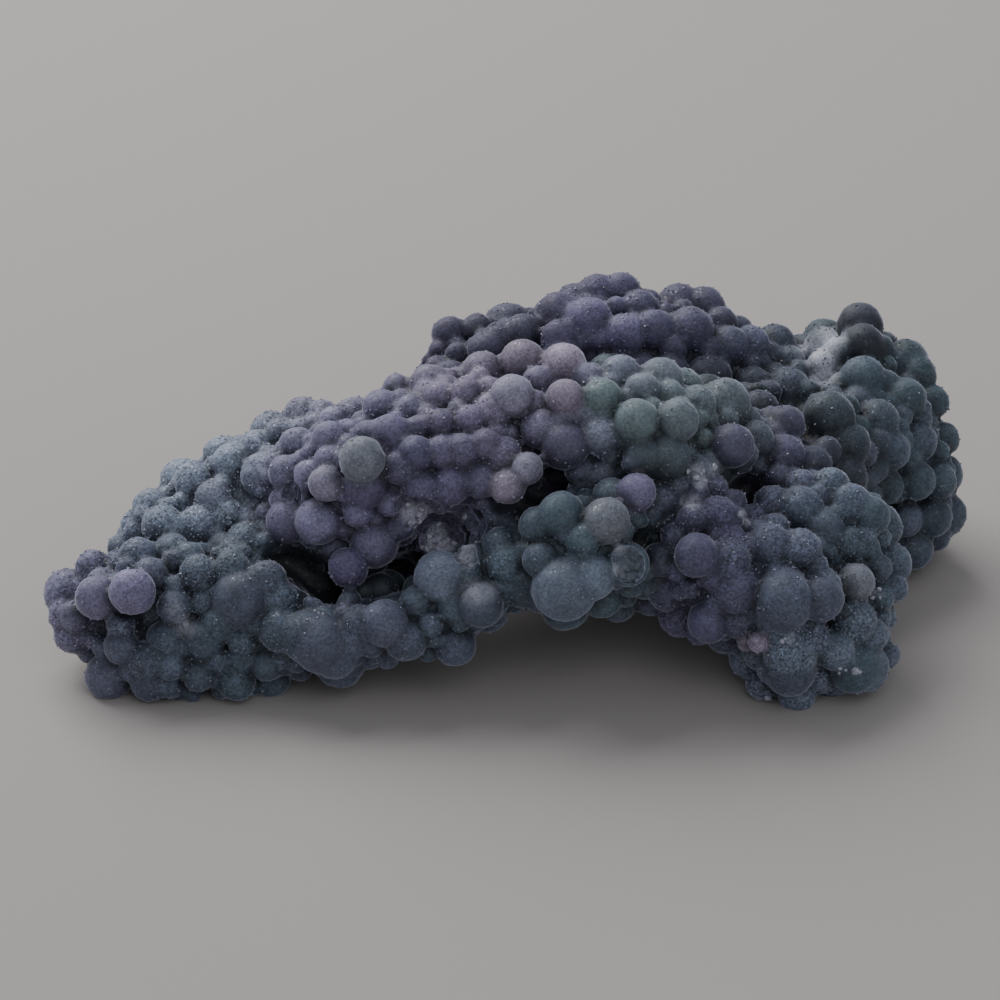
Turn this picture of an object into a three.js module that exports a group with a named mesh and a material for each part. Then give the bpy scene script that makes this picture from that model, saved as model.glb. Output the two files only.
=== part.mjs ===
// Grape agate: one lump of botryoidal chalcedony that arches between low feet, with small round grapes grown
// all over it. Lengths are in millimetres, with +X to the right, +Y to the back and +Z up.
import * as THREE from "three";

// The stone is laid out as it is seen from the front, along a line of sight that looks down on it.
const SIGHT_TILT = THREE.MathUtils.degToRad(28);
const EYE_DISTANCE = 300;
const AIM_HEIGHT = 9.6;

const SKIN_CELL = 1.26; // edge of a cell in the net that skins the stone
const SETTLE_STEPS = 12; // rounds in which each vertex of the net settles onto the skin
const FILLED_DEPTH = 0.05; // depth given to a corner that is filled in, as a share of a cell
const CELL_INSET = 0.05; // how far a vertex keeps from the sides of its cell, as a share of the cell
const BALL_STEP = 0.55; // distance between the balls along a limb, as a share of their radius
const GRAPE_SINK = 0.1; // how far a grape's centre lies under the body's skin, as a share of its radius
const GRAPE_REACH = 0.3; // how far it may stand off the skin, as a share of its radius
const GRAPE_FOOTING = 0.6; // lowest that its centre lies over the resting surface, as a share of its radius
const GRAPE_SPACING = { front: 0.66, hidden: 0.8 }; // closest for two centres, as a share of the two radii
const HIDDEN_GRAPE = { smallest: 1.3, largest: 1.8, area: 2.6, seed: 20 };
const GOLDEN_ANGLE = Math.PI * (3 - Math.sqrt(5));

// The limbs that the body is made of. Each knot is [x, y, z, radius].
const LIMBS = {
  toe: [[-26.6, -5.5, 4.2, 2.5], [-23.5, -6.0, 5.2, 3.2], [-18.5, -5.5, 5.2, 3.6], [-13, -5, 6.0, 3.8]],
  toe_foot: [[-24.0, -7.5, 2.3, 2.6], [-21.0, -8.0, 2.3, 2.6], [-17.0, -7.8, 2.4, 2.6]],
  shelf_end: [[-18, -7.5, 3.8, 2.6], [-12.0, -8.5, 4.4, 2.5], [-7.5, -9.0, 5.2, 2.2]],
  shelf: [[-7.5, -9.0, 5.2, 2.2], [-3.5, -8.8, 6.4, 2.2], [0, -7, 8.4, 2.6]],
  slope: [[-22, -1, 6.2, 3.4], [-19, 1.0, 7.5, 3.8], [-15, 2.5, 9.0, 4.0], [-11, 2.5, 10.5, 4.0]],
  shoulder: [
    [-12.5, -1.0, 10.6, 3.6], [-9.5, -2.5, 12.0, 3.8], [-6.0, -2.5, 12.8, 4.0],
    [-2, -2.0, 13.4, 4.2],
  ],
  belly: [[-14, -0.5, 6.6, 3.6], [-7, -1.0, 8.0, 3.8], [0, -1.5, 10.2, 3.6], [8, -1.0, 10.6, 3.8]],
  crest: [[-6, 0.5, 13.2, 3.8], [-1, 0.5, 14.2, 4.4], [4, 0.0, 14.6, 4.4]],
  crest_end: [[4, 0.0, 14.6, 4.4], [9.5, -0.5, 14.2, 4.4], [13.5, 0.5, 12.6, 4.0]],
  lobe: [[2, -5, 9.4, 4.0], [4.5, -7.5, 9.6, 3.6], [6.5, -7.5, 10.4, 3.2], [8.5, -6.0, 9.0, 3.4]],
  leg: [[12.5, -4.5, 9.6, 4.4], [14, -7.0, 8.0, 3.6], [18.5, -6.5, 6.8, 4.2]],
  leg_foot: [[18.5, -6.5, 6.8, 4.2], [19.5, -8.0, 4.2, 3.8], [22.0, -7.0, 3.0, 3.4]],
  leg_side: [[18, -2, 9.2, 3.6], [20.5, -3.0, 9.4, 3.0], [23, -3.5, 8.8, 2.6], [23.5, -5.0, 6.0, 2.6]],
  saddle: [[13.5, 0.5, 10.8, 4.0], [18, 2.5, 10.2, 4.0], [21, 5.5, 9.6, 4.2], [24, 9.5, 8.4, 5.0]],
  far_lobe: [
    [24.5, 11.5, 8.4, 5.4], [24.0, 14.0, 10.2, 4.6], [26.6, 10.0, 6.6, 4.2], [27.0, 9.5, 3.6, 3.8],
  ],
  ridge: [[-1.8, 12, 12.0, 3.6], [3, 13, 12.4, 4.2], [8, 13.5, 13.0, 4.6]],
  ridge_end: [[8, 13.5, 13.0, 4.6], [12.5, 13.5, 12.4, 4.6], [17.5, 13.0, 10.4, 4.0], [22, 13, 9.6, 4.2]],
  valley: [
    [-9, 4, 9.2, 4.2], [-3, 6, 10.2, 4.2], [4, 6.5, 10.4, 4.2], [11, 6.5, 10.2, 4.2],
    [17, 7, 9.8, 4.2],
  ],
  back_foot: [[3, 13, 7.0, 4.6], [4, 12.5, 4.4, 4.2], [5, 12, 3.0, 3.4]],
  back_left_foot: [[-14, 5, 6.2, 4.0], [-15.5, 5.5, 3.0, 3.4]],
};

// The grapes that show from the front, clump by clump. Each is [across, up, radius] as the eye sees it.
const FRONT_GRAPES = {
  crest: [
    [0.8, 6.9, 1.5], [9.1, 5.3, 1.5], [11.8, 5.3, 1.45], [6.8, 6.8, 1.35], [4.3, 6.8, 1.3],
    [1.5, 9.3, 1.35], [4.1, 9.3, 1.45], [7.0, 8.6, 1.15], [9.3, 8.7, 1.2], [9.5, 7.3, 1.2],
    [11.3, 8.4, 1.45], [12.3, 7.7, 1.3], [13.8, 6.9, 1.5], [14.9, 6.9, 1.45], [11.1, 2.9, 1.6],
    [9.6, 2.9, 1.45], [-0.5, 5.9, 1.35], [4.3, 3.6, 1.65], [2.7, 4.7, 1.35], [6.7, 4.3, 1.4],
    [2.9, 8.5, 1.2],
  ],
  shoulder: [
    [-9.2, 2.7, 1.55], [-11.6, 1.1, 1.2], [-9.0, 0.9, 1.5], [-8.4, -2.9, 1.65],
    [-10.1, -4.5, 1.35], [-14.1, -1.4, 1.5], [-12.1, -1.4, 1.6], [1.8, 2.1, 1.1], [0.5, 0.9, 1.2],
    [-5.6, 3.1, 1.25], [-3.9, 3.2, 1.15], [-2.5, 3.3, 1.2], [-1.0, 3.7, 1.15], [0.2, 3.0, 1.3],
    [-13.2, 5.6, 1.3], [-13.5, 3.6, 1.3], [-14.2, 1.8, 1.25], [-11.3, 4.0, 1.3], [-9.9, 5.5, 1.3],
    [-7.9, 6.1, 1.3], [-6.9, 7.5, 1.0], [-5.1, 7.7, 1.0], [-3.2, 8.2, 1.15], [-4.0, 6.8, 1.15],
    [-2.3, 7.0, 1.15], [-6.0, 6.0, 1.05], [-4.0, 5.0, 1.15], [-2.0, 5.3, 1.05], [-6.7, 2.2, 1.2],
    [-1.3, 1.3, 1.2], [-3.3, 1.0, 1.35], [-5.3, 0.7, 1.35], [-0.7, 2.0, 1.15], [-11.0, -3.0, 1.2],
    [-6.7, -1.7, 1.05],
  ],
  lobe: [
    [4.3, -5.9, 2.2], [6.1, -5.1, 1.65], [4.1, -1.0, 1.6], [7.1, -1.4, 1.6], [6.8, 1.5, 1.35],
    [5.3, 2.0, 1.0], [9.1, 0.5, 1.1], [10.7, -0.1, 1.2], [10.0, -1.0, 1.1], [2.5, -1.7, 1.3],
    [5.5, -2.7, 1.2], [0.4, -4.2, 1.35], [1.5, -5.9, 1.3], [7.9, -7.0, 1.15], [8.6, -4.2, 1.15],
    [8.7, -5.5, 1.0], [-1.3, -7.0, 1.55], [-4.0, -5.1, 1.75], [0.0, -3.0, 1.2], [-2.3, -4.7, 1.2],
    [2.7, -4.0, 1.2],
  ],
  toe: [
    [-26.9, -6.5, 1.45], [-24.5, -6.1, 1.55], [-27.1, -4.5, 1.2], [-25.1, -3.3, 1.1],
    [-28.5, -9.0, 1.25], [-28.3, -7.7, 1.05], [-27.3, -9.9, 1.0], [-25.2, -9.8, 1.2],
    [-23.4, -12.2, 1.25], [-23.5, -10.7, 1.3], [-20.1, -11.7, 1.1], [-17.6, -12.1, 1.3],
    [-15.5, -10.9, 1.2], [-22.3, -9.3, 1.3], [-19.7, -9.3, 1.45], [-17.3, -6.7, 2.0],
    [-21.7, -7.1, 1.2], [-15.5, -5.3, 1.3], [-14.7, -6.7, 1.3], [-18.7, -8.3, 1.3],
    [-25.3, -8.3, 0.95],
  ],
  shelf: [
    [-12.9, -9.1, 1.75], [-14.7, -8.7, 1.45], [-11.1, -10.3, 1.65], [-9.3, -8.3, 1.35],
    [-7.7, -8.2, 1.6], [-6.3, -9.3, 1.45], [-4.8, -10.0, 0.8], [-3.0, -9.7, 1.4],
    [-10.0, -9.3, 1.3],
  ],
  slope: [
    [-19.1, 0.1, 1.25], [-23.2, -0.5, 1.3], [-20.5, 1.3, 1.3], [-17.9, 2.5, 1.3],
    [-16.3, 3.6, 1.1], [-21.9, -3.5, 1.3], [-20.1, -1.6, 1.3], [-19.1, -2.3, 1.15],
    [-16.8, -1.6, 1.3], [-16.9, -2.7, 1.3], [-18.3, -1.0, 1.2], [-21.7, -2.0, 1.2],
    [-23.3, -5.0, 1.2], [-20.1, -4.9, 1.3], [-17.9, -4.7, 1.3],
  ],
  leg: [
    [15.5, 3.6, 1.5], [13.2, 1.7, 1.3], [18.9, 2.9, 1.5], [18.1, -0.2, 1.2], [16.7, -1.3, 1.05],
    [14.5, -0.9, 1.2], [12.8, -1.3, 1.05], [13.1, -3.7, 1.5], [13.9, -8.1, 1.45],
    [10.7, -4.0, 1.2], [11.2, -6.0, 1.45], [12.0, -7.7, 1.45], [10.0, -6.7, 1.05],
    [15.3, -4.0, 1.45], [15.7, -6.0, 1.6], [16.0, -8.0, 1.3], [18.9, -6.0, 1.65],
    [18.7, -7.7, 1.75], [21.4, -5.9, 1.45], [23.7, -5.5, 1.3], [25.3, -6.5, 1.0],
    [17.2, -9.5, 0.7], [19.3, -10.0, 1.85], [24.3, -11.2, 1.65], [26.2, -10.5, 0.9],
    [19.8, -12.9, 1.35], [17.5, -12.3, 1.15], [18.3, -11.2, 1.2], [22.0, -12.7, 0.95],
    [13.1, -9.8, 1.0], [23.5, -8.1, 1.6], [24.7, -9.0, 1.2], [22.3, -10.0, 1.35],
  ],
  saddle: [
    [22.9, 1.5, 1.6], [25.7, 0.9, 1.2], [24.7, -1.1, 1.35], [21.4, -2.0, 1.6], [23.2, -3.0, 1.35],
    [25.2, -4.5, 0.95], [20.0, -3.3, 1.45], [18.0, -3.0, 1.45], [20.0, -0.7, 1.6],
    [23.3, -0.3, 1.45], [20.8, 2.3, 1.35],
  ],
  far_lobe: [
    [24.1, 12.1, 1.55], [24.2, 10.3, 1.45], [21.5, 10.4, 1.2], [21.5, 9.0, 1.05],
    [18.3, 10.3, 1.45], [16.7, 10.3, 1.35], [27.1, 9.3, 1.45], [28.3, 8.7, 1.35], [29.2, 6.7, 1.2],
    [29.5, 4.1, 1.15], [29.2, 1.3, 1.25], [28.7, -1.1, 1.45], [27.0, -1.3, 1.2], [24.2, 8.0, 1.6],
    [25.2, 5.3, 1.45], [27.8, 3.9, 1.35], [21.9, 5.5, 1.8], [19.1, 7.3, 1.6], [16.8, 7.6, 1.35],
    [23.3, 3.7, 1.45], [17.3, 6.0, 1.35], [19.0, 5.0, 1.35], [27.0, 6.7, 1.45], [26.0, 3.3, 1.35],
    [27.7, 1.3, 1.35],
  ],
  ridge: [
    [-3.4, 11.1, 1.25], [-1.5, 11.3, 1.15], [0.0, 10.7, 1.2], [1.5, 11.1, 1.35], [3.9, 12.3, 1.6],
    [5.9, 11.9, 1.65], [6.5, 13.7, 1.4], [8.1, 14.0, 1.35], [5.0, 13.3, 1.2], [9.3, 12.7, 1.35],
    [11.9, 13.0, 1.45], [13.6, 12.8, 1.45], [10.3, 11.3, 1.45], [12.7, 11.3, 1.6],
    [14.7, 11.7, 1.2], [15.3, 10.3, 1.35], [8.3, 11.0, 1.45], [4.0, 10.7, 1.35], [-0.9, 9.9, 1.35],
    [10.7, 13.3, 1.35],
  ],
};

// A repeatable stream of numbers between two limits.
function dice(seed) {
  let state = seed;
  return (low, high) => {
    state = (Math.imul(state, 1664525) + 1013904223) >>> 0;
    return low + ((high - low) * state) / 4294967296;
  };
}

// A ball is { centre, radius }. A limb is a row of them along its knots.
function limbBalls(knots) {
  const balls = [];
  knots.slice(1).forEach((end, index) => {
    const start = knots[index];
    const length = Math.hypot(end[0] - start[0], end[1] - start[1], end[2] - start[2]);
    const count = Math.max(1, Math.ceil(length / (BALL_STEP * Math.max(start[3], end[3]))));
    for (let i = 0; i < count; i++) {
      const share = i / count;
      balls.push(start.map((value, k) => value + (end[k] - value) * share));
    }
  });
  balls.push(knots.at(-1));
  return balls.map(([x, y, z, radius]) => ({ centre: new THREE.Vector3(x, y, z), radius }));
}

// How far a point is from a ball's skin, and less than zero inside it.
function distanceTo(ball, point) {
  return point.distanceTo(ball.centre) - ball.radius;
}

// The one of some balls whose skin is nearest to a point, or that the point is deepest in.
function nearestBall(balls, point) {
  let nearest = balls[0];
  let least = Infinity;
  for (const ball of balls) {
    const distance = distanceTo(ball, point);
    if (distance < least) {
      least = distance;
      nearest = ball;
    }
  }
  return nearest;
}

// The line of sight from the eye to a place on the upright picture through the middle of the stone.
function sightLine(across, up) {
  const rightward = new THREE.Vector3(1, 0, 0);
  const aim = new THREE.Vector3(0, 0, AIM_HEIGHT);
  const eye = new THREE.Vector3(0, -EYE_DISTANCE, 0).applyAxisAngle(rightward, -SIGHT_TILT).add(aim);
  const target = new THREE.Vector3(across, 0, up).applyAxisAngle(rightward, -SIGHT_TILT).add(aim);
  return new THREE.Ray(eye, target.sub(eye).normalize());
}

// A front grape where its line of sight first meets the body, or beside the nearest limb where it misses.
function frontGrape(body, [across, up, size]) {
  const ray = sightLine(across, up);
  const meetings = body.map((ball) => {
    const reach = ball.radius - GRAPE_SINK * size;
    const along = ball.centre.clone().sub(ray.origin).dot(ray.direction);
    const miss = ray.distanceToPoint(ball.centre);
    const depth = miss < reach ? along - Math.sqrt(reach ** 2 - miss ** 2) : along;
    return { ball, depth, over: Math.max(0, miss - reach) };
  });
  const hits = meetings.filter(({ over }) => over === 0);
  const best = hits.length
    ? hits.reduce((a, b) => (b.depth < a.depth ? b : a))
    : meetings.reduce((a, b) => (b.over < a.over ? b : a));
  const radius = (size * best.depth) / EYE_DISTANCE;
  const centre = ray.at(best.depth, new THREE.Vector3());
  centre.sub(best.ball.centre).clampLength(0, best.ball.radius + GRAPE_REACH * size).add(best.ball.centre);
  return { centre, radius };
}

// Whether a grape keeps its distance from those already there, so that each one stands out as a lump.
function standsClear(grapes, grape, spacing) {
  return grapes.every((other) => {
    const clear = spacing * (other.radius + grape.radius);
    return other.centre.distanceTo(grape.centre) > clear;
  });
}

function frontGrapes(body) {
  const grapes = [];
  for (const seen of Object.values(FRONT_GRAPES).flat()) {
    const grape = frontGrape(body, seen);
    if (standsClear(grapes, grape, GRAPE_SPACING.front)) grapes.push(grape);
  }
  return grapes;
}

// Grapes over the rest of the body, spread evenly round each of its balls.
function hiddenGrapes(body, front) {
  const roll = dice(HIDDEN_GRAPE.seed);
  const grapes = [...front];
  body.forEach((ball, index) => {
    const count = Math.ceil((4 * Math.PI * ball.radius ** 2) / HIDDEN_GRAPE.area);
    for (let i = 0; i < count; i++) {
      const radius = roll(HIDDEN_GRAPE.smallest, HIDDEN_GRAPE.largest);
      const height = 1 - (2 * i + 1) / count;
      const turn = GOLDEN_ANGLE * i + index;
      const level = Math.sqrt(1 - height ** 2);
      const direction = new THREE.Vector3(level * Math.cos(turn), level * Math.sin(turn), height);
      const centre = direction.multiplyScalar(ball.radius - GRAPE_SINK * radius).add(ball.centre);
      const grape = { centre, radius };
      const fits = centre.z > GRAPE_FOOTING * radius && nearestBall(body, centre) === ball;
      if (fits && standsClear(grapes, grape, GRAPE_SPACING.hidden)) grapes.push(grape);
    }
  });
  return grapes.slice(front.length);
}

// The corners of a cell, as bits for a step along X, Y and Z, and its edges as pairs of them.
const CORNERS = [0, 1, 2, 3, 4, 5, 6, 7];
const STEPS = [1, 2, 4];
const EDGES = STEPS.flatMap((step) =>
  CORNERS.filter((corner) => !(corner & step)).map((corner) => [corner, corner | step]),
);

function cornerPoint(corner) {
  return new THREE.Vector3(corner & 1, (corner >> 1) & 1, (corner >> 2) & 1);
}

// A grid of points over some balls, each with its distance from their skin. The feet are worn flat where the
// stone rests, at z = 0, which runs through the middle of a layer of cells.
function gridOver(balls, cell) {
  const box = new THREE.Box3();
  for (const ball of balls) box.expandByPoint(ball.centre);
  box.expandByScalar(Math.max(...balls.map((ball) => ball.radius)) + 2 * cell);
  box.min.z = -2.5 * cell;
  const counts = box.getSize(new THREE.Vector3()).divideScalar(cell).ceil().toArray();
  const strides = [1, counts[0], counts[0] * counts[1]];
  const grid = { origin: box.min, cell, counts, strides };
  grid.values = Float64Array.from({ length: counts[0] * counts[1] * counts[2] }, (_, index) => {
    const point = pointAt(grid, index);
    return Math.max(distanceTo(nearestBall(balls, point), point), -point.z);
  });
  return grid;
}

// The point of the grid that has an index.
function pointAt({ origin, cell, strides }, index) {
  const x = index % strides[1];
  const y = Math.floor((index % strides[2]) / strides[1]);
  const z = Math.floor(index / strides[2]);
  return new THREE.Vector3(x, y, z).multiplyScalar(cell).add(origin);
}

// The grid indices that are at least one step in from the sides of the grid.
function innerIndices({ counts, strides }) {
  const indices = [];
  for (let k = 1; k < counts[2] - 1; k++)
    for (let j = 1; j < counts[1] - 1; j++)
      for (let i = 1; i < counts[0] - 1; i++) indices.push(i + j * strides[1] + k * strides[2]);
  return indices;
}

// The grid indices of a cell's eight corners.
function cellCorners({ strides }, index) {
  return CORNERS.map((corner) => index + cornerPoint(corner).dot(new THREE.Vector3(...strides)));
}

// Whether some corners of a cell all join up along its edges.
function joinUp(corners) {
  const reached = new Set(corners.slice(0, 1));
  for (const corner of reached)
    for (const step of STEPS) if (corners.includes(corner ^ step)) reached.add(corner ^ step);
  return reached.size === corners.length;
}

// Fills in corners until no cell has two sheets of skin in it, which would meet in one vertex.
function fillSplitCells(grid) {
  const { values, cell } = grid;
  const cells = innerIndices(grid);
  let filled = true;
  while (filled) {
    filled = false;
    for (const index of cells) {
      const around = cellCorners(grid, index);
      const inside = CORNERS.filter((corner) => values[around[corner]] < 0);
      const outside = CORNERS.filter((corner) => values[around[corner]] >= 0);
      if (joinUp(inside) && joinUp(outside)) continue;
      const lowest = outside.reduce((a, b) => (values[around[b]] < values[around[a]] ? b : a));
      values[around[lowest]] = -FILLED_DEPTH * cell;
      filled = true;
    }
  }
}

// The vertex of one cell, drawn onto the skins of all the balls that cross the cell, or null where none does.
function cellVertex(grid, balls, index) {
  const values = cellCorners(grid, index).map((corner) => grid.values[corner]);
  const crossed = EDGES.filter(([start, end]) => values[start] < 0 !== values[end] < 0);
  if (!crossed.length) return null;
  const corner = pointAt(grid, index);
  const crossings = crossed.map(([start, end]) => {
    const share = values[start] / (values[start] - values[end]);
    return cornerPoint(start).lerp(cornerPoint(end), share).multiplyScalar(grid.cell).add(corner);
  });
  const vertex = new THREE.Vector3();
  for (const crossing of crossings) vertex.addScaledVector(crossing, 1 / crossings.length);
  const owners = [...new Set(crossings.map((crossing) => nearestBall(balls, crossing)))];
  const room = new THREE.Box3(corner, corner.clone().addScalar(grid.cell));
  room.expandByScalar(-CELL_INSET * grid.cell);
  room.min.z = Math.max(room.min.z, 0);
  for (let step = 0; step < SETTLE_STEPS; step++) {
    const move = new THREE.Vector3();
    for (const ball of owners) {
      const outward = vertex.clone().sub(ball.centre).normalize();
      move.addScaledVector(outward, -distanceTo(ball, vertex) / owners.length);
    }
    room.clampPoint(vertex.add(move), vertex);
  }
  return vertex;
}

// The vertices of the net, by the grid index of their cell.
function netVertices(grid, balls) {
  const vertices = new Map();
  for (const index of innerIndices(grid)) {
    const vertex = cellVertex(grid, balls, index);
    if (vertex) vertices.set(index, vertex);
  }
  return vertices;
}

// The two triangles of a quad of the net, parted along the diagonal whose middle is nearer to the skin.
function halves([a, b, c, d], vertices, balls) {
  const offSkin = (start, end) => {
    const middle = vertices.get(start).clone().lerp(vertices.get(end), 0.5);
    return Math.abs(distanceTo(nearestBall(balls, middle), middle));
  };
  return offSkin(a, c) < offSkin(b, d) ? [a, b, c, a, c, d] : [a, b, d, b, c, d];
}

// The closed net of triangles round some balls, with a quad round each step of the grid through their skin.
function skin(balls, cell) {
  const grid = gridOver(balls, cell);
  fillSplitCells(grid);
  const { strides, values } = grid;
  const vertices = netVertices(grid, balls);
  const corners = [];
  for (const here of innerIndices(grid))
    for (const axis of [0, 1, 2]) {
      const inside = values[here] < 0;
      if (inside === values[here + strides[axis]] < 0) continue;
      const side = strides[(axis + 1) % 3];
      const across = strides[(axis + 2) % 3];
      const quad = [here - side - across, here - across, here, here - side];
      corners.push(...halves(inside ? quad : quad.reverse(), vertices, balls));
    }
  const numbers = new Map([...vertices.keys()].map((index, number) => [index, number]));
  const geometry = new THREE.BufferGeometry().setFromPoints([...vertices.values()]);
  return geometry.setIndex(corners.map((index) => numbers.get(index)));
}

const body = Object.values(LIMBS).flatMap(limbBalls);
const front = frontGrapes(body);
const hidden = hiddenGrapes(body, front);
const geometry = skin([...body, ...front, ...hidden], SKIN_CELL);

// The stone stands over the origin, with the middle of its footprint there.
geometry.computeBoundingBox();
const middle = geometry.boundingBox.getCenter(new THREE.Vector3());
const stone = new THREE.Mesh(
  geometry,
  new THREE.MeshStandardMaterial({ color: 0x5d6272, roughness: 0.55, metalness: 0, flatShading: true }),
);
stone.name = "grape_agate";
stone.position.set(-middle.x, -middle.y, 0);

const group = new THREE.Group();
group.add(stone);
export default group;
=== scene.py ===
"""A grape agate, a lump of botryoidal chalcedony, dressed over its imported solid.

The stone is laid out in millimetres from the same limbs and grapes as its solid. Finer grapes fill the gaps,
the skin is netted finely round them all, and small quartz crystals grow on its broken and sugary spots.
"""

import logging
import math
from collections.abc import Iterator
from dataclasses import dataclass, field
from enum import Enum
from typing import ClassVar

import bpy
import numpy as np
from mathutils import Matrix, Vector, noise


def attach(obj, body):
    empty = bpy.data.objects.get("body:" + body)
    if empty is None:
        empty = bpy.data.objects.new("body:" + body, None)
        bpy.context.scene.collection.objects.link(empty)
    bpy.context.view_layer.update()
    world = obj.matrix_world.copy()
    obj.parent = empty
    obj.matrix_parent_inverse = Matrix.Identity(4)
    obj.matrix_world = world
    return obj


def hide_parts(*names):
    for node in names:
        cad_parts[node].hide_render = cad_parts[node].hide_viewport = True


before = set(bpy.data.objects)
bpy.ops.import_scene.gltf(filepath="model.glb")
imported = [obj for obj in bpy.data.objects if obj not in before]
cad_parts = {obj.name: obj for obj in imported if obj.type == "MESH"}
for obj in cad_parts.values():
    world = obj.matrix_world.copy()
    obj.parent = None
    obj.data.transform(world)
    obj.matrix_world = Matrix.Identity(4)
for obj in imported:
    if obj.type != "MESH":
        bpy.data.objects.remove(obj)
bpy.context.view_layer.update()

LOG = logging.getLogger("grape_agate")
METRES = 0.001
GOLDEN_ANGLE = math.pi * (3 - math.sqrt(5))
QUARTZ_IOR = 1.54
# The middle of the stone's footprint, in the layout's axes.
STONE_MIDDLE = np.array((1.0103, 3.2347, 0.0))


class Tone(Enum):
    """The colours that the chalcedony takes, as red, green and blue of 255."""

    PEARL = (142, 139, 159)
    ROSE = (152, 140, 160)
    LAVENDER = (126, 122, 152)
    GRAPE = (97, 92, 124)
    PLUM = (82, 77, 108)
    SLATE = (84, 92, 110)
    MIST = (112, 124, 142)
    TEAL = (82, 100, 112)
    MINT = (118, 136, 138)
    PINE = (70, 88, 90)
    MOSS = (50, 65, 68)
    # MIST made lighter as painted light, for the left slope where the light falls on it.
    LIT_MIST = (152, 164, 182)
    DUSK = (74, 69, 94)
    ASH = (94, 93, 117)
    FIR = (34, 47, 50)
    SAGE = (120, 124, 134)

    def linear(self) -> np.ndarray:
        """Gives the colour in linear light."""
        share = np.array(self.value) / 255
        return np.where(share <= 0.04045, share / 12.92, ((share + 0.055) / 1.055) ** 2.4)


@dataclass(frozen=True)
class Limb:
    """A limb of the body: a row of balls along its knots.

    Attributes:
        knots: The places that the limb runs through, each x, y, z and radius.
        tones: The colour at each knot.
        sugar: How sugary its skin is, from 0 to 1.
    """

    knots: tuple[tuple[float, float, float, float], ...]
    tones: tuple[Tone, ...]
    sugar: float = 0.5


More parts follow.
